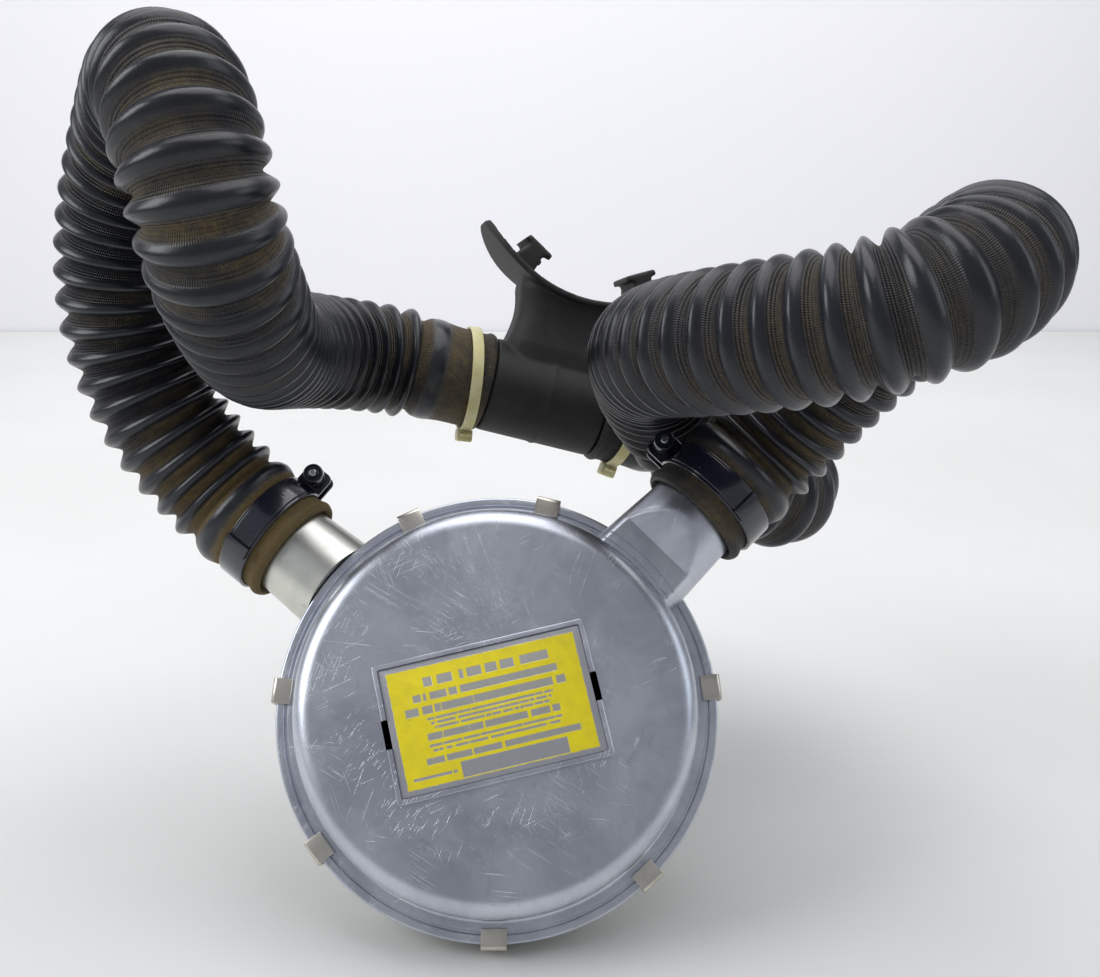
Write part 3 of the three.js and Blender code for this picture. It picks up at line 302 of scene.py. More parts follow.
def hose_rubber(dust_at_root, dust_all):
    """Black moulded rubber: glossy on the folds, a woven imprint and ochre dust between them."""
    finish = Finish("hose_rubber", {"Specular IOR Level": 0.5})
    along = finish.attribute("along")
    fold = finish.attribute("fold")
    turn_x, turn_y = finish.parts(finish.attribute("turn", "Vector"))
    around = turn_y.angle_from(turn_x) * THREADS_AROUND
    lengthwise = along * THREADS_ALONG
    twill = (around + lengthwise).sine() * (around - lengthwise).sine()
    point = finish.point()
    broad = finish.noise(point, 22.0, 4.0, 0.6, 0.4)
    fine = finish.noise(point, 420.0, 4.0, 0.65)
    scuffs = finish.noise(point, 130.0, 5.0, 0.7, 1.2)
    valley = 1.0 - fold.step(0.15, 0.75)
    near_root = 1.0 - along.step(0.02, 0.11)
    dust = valley * (dust_all + near_root * dust_at_root) * broad.step(0.36, 0.68)
    dust = dust * (0.45 + fine.step(0.35, 0.7) * 0.55)
    tone = finish.mix(broad.step(0.3, 0.7), (0.006, 0.007, 0.010), (0.013, 0.015, 0.021))
    tone = finish.mix(scuffs.step(0.58, 0.74) * 0.35, tone, (0.05, 0.052, 0.06))
    tone = finish.mix(dust.smallest(1.0), tone, (0.16, 0.112, 0.042))
    rough = 0.24 + valley * 0.20 + scuffs * 0.10 + dust * 0.25
    woven = finish.bump(twill * valley, 0.00025)
    return finish.done(tone, rough, Normal=finish.bump(fine * 0.5 + scuffs, 0.00010, woven))


def moulded_rubber(name, tone_low, tone_high, rough):
    """Matt black rubber with a powdery bloom in patches."""
    finish = Finish(name)
    point = finish.point()
    broad = finish.noise(point, 45.0, 4.0, 0.6, 0.6)
    fine = finish.noise(point, 700.0, 4.0, 0.7)
    tone = finish.mix(broad.step(0.32, 0.7), tone_low, tone_high)
    tone = finish.mix(fine.step(0.62, 0.76) * 0.3, tone, (0.06, 0.055, 0.04))
    rough = rough + broad * 0.16 + fine * 0.08
    return finish.done(tone, rough, fine + broad * 0.5, 0.00012)


def clamp_enamel():
    """Glossy black enamel, rubbed through to metal in tiny nicks."""
    finish = Finish("clamp_enamel", {"Coat Roughness": 0.06, "Specular IOR Level": 0.6})
    point = finish.point()
    waves = finish.noise(point, 60.0, 3.0, 0.5, 0.4)
    nicks = finish.noise(point, 520.0, 4.0, 0.7, 0.8).step(0.70, 0.74)
    tone = finish.mix(waves, (0.004, 0.005, 0.011), (0.012, 0.014, 0.028))
    tone = finish.mix(nicks * 0.6, tone, (0.22, 0.23, 0.26))
    finish.set(Coat_Weight=0.6 - nicks * 0.5)
    return finish.done(tone, 0.16 + waves * 0.14, waves - nicks * 0.4, 0.00010)


def aged_nylon():
    """Yellowed translucent nylon."""
    uniform = {"Subsurface Weight": 0.35, "Subsurface Scale": 0.003}
    uniform["Subsurface Radius"] = (1.0, 0.8, 0.35)
    finish = Finish("aged_nylon", uniform)
    point = finish.point()
    clouds = finish.noise(point, 70.0, 4.0, 0.6)
    fine = finish.noise(point, 600.0, 3.0, 0.6)
    tone = finish.mix(clouds.step(0.3, 0.7), (0.66, 0.60, 0.27), (0.80, 0.76, 0.50))
    return finish.done(tone, 0.34 + fine * 0.16, fine, 0.00006)


def label_enamel():
    """Yellow enamel on a metal plate, with a bare border, a bare strip and dark chips."""
    finish = Finish("label_enamel", {"Specular IOR Level": 0.5})
    across, up = finish.parts(finish.plan())
    half_width, half_height = LABEL_SIZE[0] / 2 - 2.3, LABEL_SIZE[1] / 2 - 1.8
    ragged = (finish.noise(finish.plan(), 0.5, 4.0, 0.7) - 0.5) * 0.9
    inside = 1.0 - (across.size() + ragged - half_width).step(-0.12, 0.12)
    inside = inside * (1.0 - (up.size() + ragged - half_height).step(-0.12, 0.12))

    def within(offset, half, edge=0.1):
        return 1.0 - offset.size().step(half - edge, half + edge)

    def bar(middle, level, length, height):
        """A bare plain bar in the enamel, broken into uneven blocks."""
        run = finish.make("ShaderNodeCombineXYZ", {0: across * (0.9 / height), 1: level})
        blocks = finish.noise(run, 1.0, 1.0).step(0.36, 0.40)
        return within(across - middle, length / 2) * within(up - level, height / 2) * blocks

    strip = within(up + 17.0, 2.7) * within(across - 4.5, 18.45, 0.15)
    rows = bar(1, 14.6, 44, 3.2)
    for row in (
        (-1, 9.6, 52, 2.6), (-1, 5.2, 56, 2.8), (0, 2.0, 44, 0.9), (0, 0.4, 42, 0.9),
        (0, -1.2, 40, 0.9), (0, -4.0, 46, 2.4), (0, -7.0, 46, 0.9), (0, -8.7, 44, 0.9),
        (2, -12.0, 54, 2.2), (-23, -17, 15, 1.0),
    ):
        rows = rows.largest(bar(*row))
    chips = finish.noise(finish.plan(), 0.32, 7.0, 0.75, 1.4).step(0.66, 0.69)
    corners = finish.noise(finish.plan(), 0.07, 2.0).step(0.48, 0.60)
    chips = chips * (corners * 0.8 + 0.12)
    enamel = inside * (1.0 - strip) * (1.0 - rows * 0.9)
    shade = finish.noise(finish.plan(), 0.16, 4.0, 0.6)
    yellow = finish.mix(shade.step(0.3, 0.75), (0.90, 0.76, 0.012), (0.80, 0.66, 0.02))
    bare = finish.mix(shade, (0.60, 0.61, 0.64), (0.44, 0.44, 0.47))
    tone = finish.mix(enamel, bare, yellow)
    tone = finish.mix((chips * enamel).smallest(1.0), tone, (0.05, 0.04, 0.015))
    finish.set(Metallic=0.85 - enamel * 0.85)
    relief = enamel - chips * 1.5 + shade * 0.2
    return finish.done(tone, 0.30 + shade * 0.18, relief, 0.00007)


def hard_plastic():
    """Moulded black plastic with a fine grain."""
    finish = Finish("hard_plastic")
    point = finish.point()
    grain = finish.noise(point, 850.0, 3.0, 0.6)
    broad = finish.noise(point, 70.0, 3.0)
    tone = finish.mix(broad, (0.010, 0.010, 0.012), (0.022, 0.022, 0.025))
    return finish.done(tone, 0.34 + grain * 0.2, grain, 0.00005)


SATIN = satin_metal()
ZINC = zinc_metal()
NICKEL = plated_metal("nickel", (0.70, 0.67, 0.60), (0.55, 0.52, 0.44), 0.22)
BRIGHT = plated_metal("bright_chrome", (0.74, 0.75, 0.78), (0.62, 0.63, 0.67), 0.08, 0.2)
STEEL = plated_metal("stainless_steel", (0.58, 0.59, 0.61), (0.46, 0.47, 0.50), 0.24)
BRASS = plated_metal("brass", (0.72, 0.55, 0.26), (0.55, 0.40, 0.17), 0.22)
BRONZE = plated_metal("sintered_bronze", (0.45, 0.33, 0.20), (0.25, 0.17, 0.10), 0.5, 0.9)
INTAKE_RUBBER = hose_rubber(1.6, 0.9)
EXHAUST_RUBBER = hose_rubber(1.2, 0.4)
MOUTH_RUBBER = moulded_rubber("mouth_rubber", (0.010, 0.010, 0.010), (0.022, 0.021, 0.019), 0.5)
THIN_RUBBER = moulded_rubber("thin_rubber", (0.012, 0.012, 0.013), (0.03, 0.03, 0.03), 0.6)
ENAMEL = clamp_enamel()
NYLON = aged_nylon()
LABEL = label_enamel()
PLASTIC = hard_plastic()

# ---- Mesh tools ----


@contextmanager
def edited(mesh):
    """Opens a mesh for an edit and writes it back."""
    shape = bmesh.new()
    shape.from_mesh(mesh)
    yield shape
    shape.to_mesh(mesh)
    shape.free()


def new_object(name, mesh):
    obj = bpy.data.objects.new(name, mesh)
    bpy.context.scene.collection.objects.link(obj)
    return obj


def mesh_of(name, vertices, faces, weld=True):
    """A piece from points and faces, welded and facing outwards."""
    mesh = bpy.data.meshes.new(name)
    mesh.from_pydata([tuple(float(x) for x in v) for v in vertices], [], faces)
    with edited(mesh) as shape:
        if weld:
            bmesh.ops.remove_doubles(shape, verts=shape.verts, dist=1e-4)
            bare = [edge for edge in shape.edges if not edge.link_faces]
            bmesh.ops.delete(shape, geom=bare, context="EDGES")
        bmesh.ops.recalc_face_normals(shape, faces=shape.faces)
    return new_object(name, mesh)


def remove(*objects):
    for obj in objects:
        data = obj.data
        bpy.data.objects.remove(obj)
        bpy.data.meshes.remove(data)


def applied(obj):
    """Turns a piece's modifiers into plain mesh."""
    evaluated = obj.evaluated_get(bpy.context.evaluated_depsgraph_get())
    mesh = bpy.data.meshes.new_from_object(evaluated)
    obj.modifiers.clear()
    obj.data = mesh
    return obj


def sound(obj, close=0.003):
    """Merges points that a cut left almost together and clears the slivers between them."""
    with edited(obj.data) as shape:
        for _ in range(2):
            bmesh.ops.remove_doubles(shape, verts=shape.verts, dist=close)
            bmesh.ops.dissolve_degenerate(shape, dist=close, edges=shape.edges)
        many_sided = [face for face in shape.faces if len(face.verts) > 4]
        bmesh.ops.triangulate(shape, faces=many_sided)
        bmesh.ops.dissolve_degenerate(shape, dist=close, edges=shape.edges)


def cut(base, *others, operation="DIFFERENCE"):
    for other in others:
        modifier = base.modifiers.new("cut", "BOOLEAN")
        modifier.operation = operation
        modifier.solver = "EXACT"
        modifier.object = other
        applied(base)
        sound(base)
    remove(*others)
    return base


def fuse(base, *others):
    return cut(base, *others, operation="UNION")


def bevelled(obj, width, segments=3, angle=35):
    modifier = obj.modifiers.new("bevel", "BEVEL")
    modifier.width = width
    modifier.segments = segments
    modifier.limit_method = "ANGLE"
    modifier.angle_limit = math.radians(angle)
    return applied(obj)


def smooth(obj, angle=35):
    """Smooth shading, with edges sharper than the angle kept crisp."""
    with edited(obj.data) as shape:
        for face in shape.faces:
            face.smooth = True
        for edge in shape.edges:
            edge.smooth = edge.calc_face_angle(0) < math.radians(angle)
    return obj


def planned(obj):
    """Keeps the piece's own x and y, in millimetres, as the map that patterns follow."""
    layer = obj.data.uv_layers.new(name="plan")
    corners = np.zeros(len(obj.data.loops), int)
    obj.data.loops.foreach_get("vertex_index", corners)
    places = np.zeros(len(obj.data.vertices) * 3)
    obj.data.vertices.foreach_get("co", places)
    layer.data.foreach_set("uv", places.reshape(-1, 3)[corners, :2].ravel())
    return obj


def finished(obj, place, material, body, slot, *nodes):
    """Puts a piece in its place, on its body and in the stead of its plain solids."""
    obj.data.transform(place)
    obj.data.materials.clear()
    obj.data.materials.append(material)
    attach(obj, body)
    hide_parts(*nodes)


def rounded(corners):
    """A closed outline from (x, y, fillet radius) corners, each fillet as an arc."""
    points = []
    for i, (x, y, radius) in enumerate(corners):
        corner = np.array((x, y), float)
        if not radius:
            points.append((x, y))
            continue
        before = np.array(corners[i - 1][:2]) - corner
        after = np.array(corners[(i + 1) % len(corners)][:2]) - corner
        lengths = np.linalg.norm(before), np.linalg.norm(after)
        before, after = before / lengths[0], after / lengths[1]
        half = math.acos(max(-1, min(1, before @ after))) / 2
        reach = min(radius / math.tan(half), 0.49 * lengths[0], 0.49 * lengths[1])
        used = reach * math.tan(half)
        centre = corner + (before + after) / np.linalg.norm(before + after) * used / math.sin(half)
        start, stop = corner + before * reach - centre, corner + after * reach - centre
        begin = math.atan2(start[1], start[0])
        sweep = math.atan2(start[0] * stop[1] - start[1] * stop[0], start @ stop)
        steps = 4 + int(abs(sweep) * used ** 0.5 * 2)
        for k in range(steps + 1):
            angle = begin + sweep * k / steps
            points.append((centre[0] + used * math.cos(angle), centre[1] + used * math.sin(angle)))
    return points


def turned(name, corners, sides=192):
    """A piece turned about z from its half section of (radius, level, fillet) corners."""
    section = rounded(corners)
    angles = np.linspace(0, 2 * math.pi, sides, endpoint=False)
    vertices = [
        (max(r, 0) * math.cos(a), max(r, 0) * math.sin(a), z) for a in angles for r, z in section
    ]
    n = len(section)
    faces = []
    for i in range(sides):
        here, there = i * n, (i + 1) % sides * n
        for j in range(n):
            k = (j + 1) % n
            faces.append((here + j, there + j, there + k, here + k))
    return mesh_of(name, vertices, faces)


def ring(name, inner, outer, low, high, edge=0.3, sides=128):
    corners = [(inner, low, edge), (outer, low, edge), (outer, high, edge), (inner, high, edge)]
    return turned(name, corners, sides)


def disc(name, radius, low, high, edge=0.3, sides=128):
    corners = [(0, low, 0), (radius, low, edge), (radius, high, edge), (0, high, 0)]
    return turned(name, corners, sides)


def prism(name, outline, low, high):
    """An outline on x and y, raised along z."""
    n = len(outline)
    vertices = [(x, y, z) for z in (low, high) for x, y in outline]
    faces = [(i, (i + 1) % n, n + (i + 1) % n, n + i) for i in range(n)]
    faces += [tuple(range(n))[::-1], tuple(range(n, 2 * n))]
    return mesh_of(name, vertices, faces, weld=False)


def box(name, x, y, z):
    return prism(name, [(x[0], y[0]), (x[1], y[0]), (x[1], y[1]), (x[0], y[1])], *z)


def moved(obj, matrix):
    obj.data.transform(matrix)
    return obj


def rectangle(width, height, radius):
    x, y = width / 2, height / 2
    return rounded([(-x, -y, radius), (x, -y, radius), (x, y, radius), (-x, y, radius)])


def loft(name, loops):
    """A closed skin over loops of the same number of points, with flat ends."""
    n = len(loops[0])
    vertices = [point for loop in loops for point in loop]
    faces = [
        (k * n + i, k * n + (i + 1) % n, (k + 1) * n + (i + 1) % n, (k + 1) * n + i)
        for k in range(len(loops) - 1)
        for i in range(n)
    ]
    last = (len(loops) - 1) * n
    faces += [tuple(range(n))[::-1], tuple(range(last, last + n))]
    return mesh_of(name, vertices, faces, weld=False)


TURN_X = Matrix.Rotation(math.pi, 4, "X")
UPRIGHT = Matrix.Rotation(math.pi / 2, 4, "X")  # an outline's y becomes z
TO_X = Matrix.Rotation(math.pi / 2, 4, "Y")  # what was drawn about z now lies along x
TO_Y = Matrix.Rotation(-math.pi / 2, 4, "X")  # and along y


def along_angle(angle, reach=0, level=0):
    """What was drawn about z lies outwards in the can's plane, from the reach given."""
    place = Vector((reach * math.cos(angle), reach * math.sin(angle), level))
    return Matrix.Translation(place) @ Matrix.Rotation(angle, 4, "Z") @ TO_X


# ---- Hoses: first the cords ----

# Points on each hose's middle line from the can's middle, in metres.
INTAKE_ROUTE = [
    (-0.109, 0.055, 0.069), (-0.121, 0.056, 0.083), (-0.131, 0.057, 0.100), (-0.138, 0.058, 0.119),
    (-0.140, 0.057, 0.138), (-0.138, 0.055, 0.157), (-0.133, 0.051, 0.176), (-0.125, 0.044, 0.194),
    (-0.116, 0.032, 0.208), (-0.107, 0.015, 0.215), (-0.098, -0.003, 0.212), (-0.091, -0.017, 0.199),
    (-0.086, -0.022, 0.181), (-0.084, -0.016, 0.162), (-0.083, 0.000, 0.146), (-0.084, 0.020, 0.134),
    (-0.085, 0.041, 0.126), (-0.086, 0.062, 0.121), (-0.084, 0.082, 0.117), (-0.078, 0.101, 0.113),
    (-0.067, 0.116, 0.109), (-0.051, 0.126, 0.105),
]
EXHAUST_ROUTE = [
    (0.101, 0.045, 0.089), (0.113, 0.042, 0.104), (0.126, 0.035, 0.121), (0.140, 0.027, 0.137),
    (0.152, 0.015, 0.151), (0.160, 0.000, 0.161), (0.157, -0.020, 0.163), (0.146, -0.038, 0.159),
    (0.131, -0.047, 0.154), (0.114, -0.045, 0.148), (0.096, -0.036, 0.143), (0.078, -0.022, 0.138),
    (0.065, -0.004, 0.133), (0.058, 0.017, 0.128), (0.056, 0.039, 0.122), (0.057, 0.061, 0.115),
    (0.060, 0.081, 0.104), (0.067, 0.096, 0.091), (0.076, 0.103, 0.078), (0.087, 0.106, 0.067),
    (0.099, 0.107, 0.057), (0.112, 0.111, 0.049), (0.122, 0.120, 0.046), (0.126, 0.134, 0.048),
    (0.121, 0.149, 0.053), (0.110, 0.160, 0.059), (0.094, 0.163, 0.064), (0.078, 0.157, 0.067),
]
ROOT_BULGE, END_BULGE = 0.0026, 0.0011  # how far each cuff's shoulder stands out
RING_SPACING, BORE_RINGS, HOSE_SIDES = 0.00066, 200, 72
CUFF_POINTS = (0, 12, 24, 29)  # along the horn, from the hose's lip
NEAR_MOUTH_POINTS = (27, 24, 12, 0)  # along the mouthpiece's tube, to the hose's lip


def smooth_path(points, spacing=0.0015):
    """A centripetal Catmull-Rom curve through the points, evenly spaced and slightly relaxed."""
    p = np.array(points, float)
    p = np.vstack([2 * p[0] - p[1], p, 2 * p[-1] - p[-2]])
    run = []
    for i in range(1, len(p) - 2):
        knots = [0.0]
        for a, b in zip(p[i - 1 : i + 2], p[i : i + 3]):
            knots.append(knots[-1] + max(np.linalg.norm(b - a), 1e-9) ** 0.5)
        t = np.linspace(knots[1], knots[2], 24, endpoint=False)[:, None]

        def between(low, high, first, second):
            return ((knots[high] - t) * first + (t - knots[low]) * second) / (
                knots[high] - knots[low]
            )

        a = [between(k, k + 1, p[i - 1 + k], p[i + k]) for k in range(3)]
        b = [between(k, k + 2, a[k], a[k + 1]) for k in range(2)]
        run.append(between(1, 2, b[0], b[1]))
    run = np.vstack([*run, p[-2:-1]])
    for _ in range(2):
        lengths = np.r_[0, np.cumsum(np.linalg.norm(np.diff(run, axis=0), axis=1))]
        even = np.linspace(0, lengths[-1], int(lengths[-1] / spacing) + 1)
        run = np.column_stack([np.interp(even, lengths, run[:, k]) for k in range(3)])
        for _ in range(30):
            run[1:-1] = run[1:-1] * 0.5 + (run[:-2] + run[2:]) * 0.25
    return run


def hose_tree():
    """Sweeps a round hose along an edge path: cuffs at the ends, folds between, hollow inside."""
    tree = bpy.data.node_groups.new("corrugated_hose", "GeometryNodeTree")
    face = tree.interface
    face.new_socket("Path", in_out="INPUT", socket_type="NodeSocketGeometry")
    for kind, names in (
        ("NodeSocketFloat", ("Fold radius", "Valley radius", "Bore radius", "Cuff radius")),
        ("NodeSocketFloat", ("Fold pitch", "Cuff length", "Root bulge", "End bulge")),
        ("NodeSocketInt", ("Rings", "Bore rings", "Sides")),
    ):
        for name in names:
            face.new_socket(name, in_out="INPUT", socket_type=kind)
    face.new_socket("Material", in_out="INPUT", socket_type="NodeSocketMaterial")
    face.new_socket("Hose", in_out="OUTPUT", socket_type="NodeSocketGeometry")
    graph = Graph(tree)
    group = tree.nodes.new("NodeGroupInput")
    given = {socket.name: Value(graph, socket) for socket in group.outputs}

    line = graph.make("GeometryNodeMeshToCurve", {0: given["Path"]})
    length = graph.make("GeometryNodeCurveLength", {0: line})
    circle = graph.make(
        "GeometryNodeCurvePrimitiveCircle", {"Resolution": given["Sides"], "Radius": 1.0}
    )

    def store(geometry, kind, name, value):
        inputs = {"Geometry": geometry, "Name": name, "Value": value}
        return graph.make("GeometryNodeStoreNamedAttribute", inputs, {"data_type": kind})

    section = store(circle, "FLOAT_VECTOR", "turn", graph.make("GeometryNodeInputPosition"))
    along = graph.make("GeometryNodeSplineParameter", output="Length")
    from_end = along.smallest(length - along)
    far_side = (along / length).step(0.49, 0.51)
    bulge = given["Root bulge"] * (1.0 - far_side) + given["End bulge"] * far_side
    wave = 0.5 - ((along - given["Cuff length"]) * (2 * math.pi) / given["Fold pitch"]).cosine() * 0.5
    window = from_end.step(given["Cuff length"] - 0.0005, given["Cuff length"] + 0.0005)
    fold = (wave ** 0.8) * window
    folded = given["Valley radius"] + (given["Fold radius"] - given["Valley radius"]) * fold
    lip_bead = from_end.bell(0.0026, 0.0016) * 0.0009
    shoulder = from_end.bell(0.0255, 0.0052)
    cuff = given["Cuff radius"] + lip_bead + bulge * shoulder
    cuff = cuff - from_end.step(0.029, 0.033) * (given["Cuff radius"] - given["Valley radius"])
    radius = cuff * (1.0 - window) + folded * window
    rim = from_end.step(0.0, 0.0008)
    rim_radius = (given["Cuff radius"] + given["Bore radius"]) * 0.5
    outer_radius = rim_radius * (1.0 - rim) + radius * rim
    inner_radius = rim_radius * (1.0 - rim) + given["Bore radius"] * rim
    relief = (fold + shoulder * 0.9).smallest(1.0)

    skins = []
    for rings, ring_radius in ((given["Rings"], outer_radius), (given["Bore rings"], inner_radius)):
        even = graph.make("GeometryNodeResampleCurve", {"Curve": line, "Count": rings})
        for name, value in (("along", along), ("fold", relief), ("ring_radius", ring_radius)):
            even = store(even, "FLOAT", name, value)
        radius_there = graph.make("GeometryNodeInputNamedAttribute", {"Name": "ring_radius"})
        swept = {"Curve": even, "Profile Curve": section, "Scale": radius_there}
        skins.append(graph.make("GeometryNodeCurveToMesh", swept))
    inner = graph.make("GeometryNodeFlipFaces", {0: skins[1]})
    whole = graph.make("GeometryNodeJoinGeometry", {0: skins[0]})
    tree.links.new(inner.socket, whole.socket.node.inputs[0])
    whole = graph.make("GeometryNodeMergeByDistance", {0: whole, "Distance": 4e-6})
    whole = graph.make("GeometryNodeSetShadeSmooth", {0: whole})
    whole = graph.make("GeometryNodeRealizeInstances", {0: whole})
    finish = {"Geometry": whole, "Material": given["Material"]}
    whole = graph.make("GeometryNodeSetMaterial", finish)
    out = tree.nodes.new("NodeGroupOutput")
    tree.links.new(whole.socket, out.inputs[0])
    return tree


def run_tree(obj, tree, values):
    """Gives an object a geometry tree, sets its named inputs and makes the result plain mesh."""
    modifier = obj.modifiers.new("shape", "NODES")
    modifier.node_group = tree
    for item in tree.interface.items_tree:
        if item.in_out == "INPUT" and item.name in values:
            modifier[item.identifier] = values[item.name]
    return applied(obj)


def point_of_can(angle, reach, level):
    return CAN @ Vector((reach * math.cos(angle), reach * math.sin(angle), level))


def close_end(obj):
    """Joins the outer and the inner skin where their last rings don't meet."""
    with edited(obj.data) as shape:
        rims = [edge for edge in shape.edges if len(edge.link_faces) == 1]
        bmesh.ops.bridge_loops(shape, edges=rims)
        bmesh.ops.recalc_face_normals(shape, faces=shape.faces)
        for face in shape.faces:
            face.smooth = True
            face.material_index = 0


def make_hose(node, angle, level, route, side, material):
    horn = [point_of_can(angle, HOSE_START + s, level) for s in CUFF_POINTS]
    middle = [can_middle + Vector(point) for point in route]
    mouth = [MOUTHPIECE @ Vector((side * (TEE_HALF + CLEARANCE + s), 0, 0)) for s in NEAR_MOUTH_POINTS]
    path = smooth_path([*horn, *middle, *mouth])
    length = float(np.linalg.norm(np.diff(path, axis=0), axis=1).sum())
    mesh = bpy.data.meshes.new(node)
    mesh.from_pydata([tuple(p) for p in path], [(i, i + 1) for i in range(len(path) - 1)], [])
    hose = new_object(f"{node}_folds", mesh)
    cuff = CUFF_LENGTH * MM
    folds = round((length - 2 * cuff) / (FOLD_PITCH * MM))
    run_tree(hose, HOSE_TREE, {
        "Fold radius": HOSE_RADIUS * MM, "Valley radius": HOSE_VALLEY * MM,
        "Bore radius": HOSE_BORE * MM, "Cuff radius": CUFF_RADIUS * MM,
        "Fold pitch": (length - 2 * cuff) / folds, "Cuff length": cuff,
        "Root bulge": ROOT_BULGE, "End bulge": END_BULGE,
        "Rings": int(length / RING_SPACING), "Bore rings": BORE_RINGS,
        "Sides": HOSE_SIDES, "Material": material,
    })
    close_end(hose)
    hose.data.materials.clear()
    hose.data.materials.append(material)
    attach(hose, "can")
    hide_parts(node)
    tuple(path[0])


HOSE_TREE = hose_tree()
make_hose("intake_hose", INTAKE_ANGLE, INTAKE_LEVEL, INTAKE_ROUTE, -1, INTAKE_RUBBER)
make_hose("exhaust_hose", EXHAUST_ANGLE, EXHAUST_LEVEL, EXHAUST_ROUTE, 1, EXHAUST_RUBBER)

# ---- The can ----


def straight(x, low, high):
    return max(0.0, min(1.0, (x - low) / (high - low)))


def horn_skin(name, angle, level, reaches, radius_of, top_of, sides=200):
    """A horn's solid: round, but no higher than its flat front, with a softened edge."""
    outward = np.array((math.cos(angle), math.sin(angle), 0))
    across = np.array((-math.sin(angle), math.cos(angle), 0))
    loops = []
    for reach in reaches:
        radius, top = radius_of(reach), top_of(reach)
        loop = []
        for turn in np.linspace(0, 2 * math.pi, sides, endpoint=False):
            height = radius * math.sin(turn)
            near = max(1.2 - abs(height - top), 0) / 1.2
            height = min(height, top) - near * near * 0.3
            place = outward * reach + across * radius * math.cos(turn)
            loop.append(place + np.array((0, 0, level + height)))
        loops.append(loop)
    return loft(name, loops)


def shell(name, radius, height, fillet, angle, level, facet):
    """A flanged shell that opens towards z = 0, with its horn."""
    inner = radius - SHELL_WALL
    ceiling = [(inner, height - SHELL_WALL, fillet - SHELL_WALL)]
    wall = turned(name, [
        (0, height + CROWN, 0),
        (radius, height, fillet),
        (radius, FLANGE_BACK, 1.8),
        (74.6, FLANGE_BACK, 0.2),
        (74.8, FLANGE_BACK - 0.9, 0.1),
        (75.7, FLANGE_BACK - 0.9, 0.1),
        (76.0, FLANGE_BACK, 0.5),
        (FLANGE_RADIUS, FLANGE_BACK, 0.9),
        (FLANGE_RADIUS, FLANGE_SEAT, 0.6),
        (0, FLANGE_SEAT, 0),
    ], 256)
    room = turned("room", [
        (0, -height, 0), (inner, -height, 0), *ceiling, (0, height - SHELL_WALL + CROWN, 0)
    ], 256)

    def radius_of(reach):
        return HORN_ROOT + (HORN_RADIUS - HORN_ROOT) * straight(reach, 70, HORN_MOUTH)

    def top_of(reach):
        return facet + (HORN_ROOT + 1 - FACET_LEVEL) * straight(reach, FACET_REACH, FACET_END)

    steps = [*range(int(FACET_REACH) - 2, HORN_MOUTH + 1)]
    horn = horn_skin(
        "horn", angle, level, [radius - 6, *steps, SPIGOT_END - 0.6, SPIGOT_END], radius_of, top_of
    )
    bore = horn_skin(
        "bore", angle, level, [radius - 4, *steps, SPIGOT_END + 1],
        lambda reach: HORN_RADIUS - HORN_WALL, lambda reach: top_of(reach) - HORN_WALL,
    )
    cut(horn, disc("relief", FLANGE_RADIUS + 0.3, -4 * height, FLANGE_SEAT + 0.4, 0, 256))
    cut(bore, disc("floor", FLANGE_RADIUS + 0.3 + HORN_WALL, -4 * height, FLANGE_BACK, 0, 256))
    return cut(fuse(wall, horn), room, bore)


LABEL_PLACE = Matrix.Translation((*LABEL_CENTRE, COVER_HEIGHT)) @ Matrix.Rotation(
    LABEL_ANGLE, 4, "Z"
)


def front_cover():
    cover = shell(
        "front_cover_pressing", COVER_RADIUS, COVER_HEIGHT, COVER_FILLET,
        EXHAUST_ANGLE, EXHAUST_LEVEL, FACET_LEVEL,
    )
    for inner in (71.2, 74.2):
        cut(cover, ring("groove", inner, inner + 0.6, 16.5, 18, 0))
    width, height = LABEL_SIZE
    bezel = prism("bezel", rectangle(width + 4.2, height + 4.2, 1.2), -SHELL_WALL, 1.8)
    bevelled(bezel, 0.5)
    recess = prism("recess", rectangle(width + 0.6, height + 0.6, 0.6), 0, 4)
    slits = [
        box("slit", (side * 36.55 - 1.2, side * 36.55 + 1.2), (-5, 5), (-6, 6)) for side in (-1, 1)
    ]
    parts = [moved(part, LABEL_PLACE) for part in (bezel, recess, *slits)]
    fuse(cover, parts[0])
    cut(cover, *parts[1:])
    planned(smooth(cover, 30))
    finished(cover, CAN, SATIN, "can", "satin_metal", "front_cover")


def rear_body():
    body = shell(
        "rear_body_pressing", BODY_RADIUS, BODY_DEPTH, BODY_FILLET,
        -INTAKE_ANGLE, -INTAKE_LEVEL, BODY_DEPTH,
    )
    cut(body, disc("nozzle_hole", 9.3, BODY_DEPTH / 2, 2 * BODY_DEPTH, 0))
    planned(smooth(moved(body, TURN_X), 30))
    finished(body, CAN, ZINC, "can", "zinc_metal", "rear_body")


def diaphragm():
    half = 0.6
    sheet = turned("diaphragm_sheet", [
        (0, -half, 0), (46, -half, 2), (49, 3 - half, 2), (51, 3 - half, 2), (54, -half, 2),
        (77.5, -half, 0.3), (77.5, half, 0.3), (54, half, 2), (51, 3 + half, 2),
        (49, 3 + half, 2), (46, half, 2), (0, half, 0),
    ])
    finished(smooth(sheet), CAN, THIN_RUBBER, "can", "grey_rubber", "diaphragm")


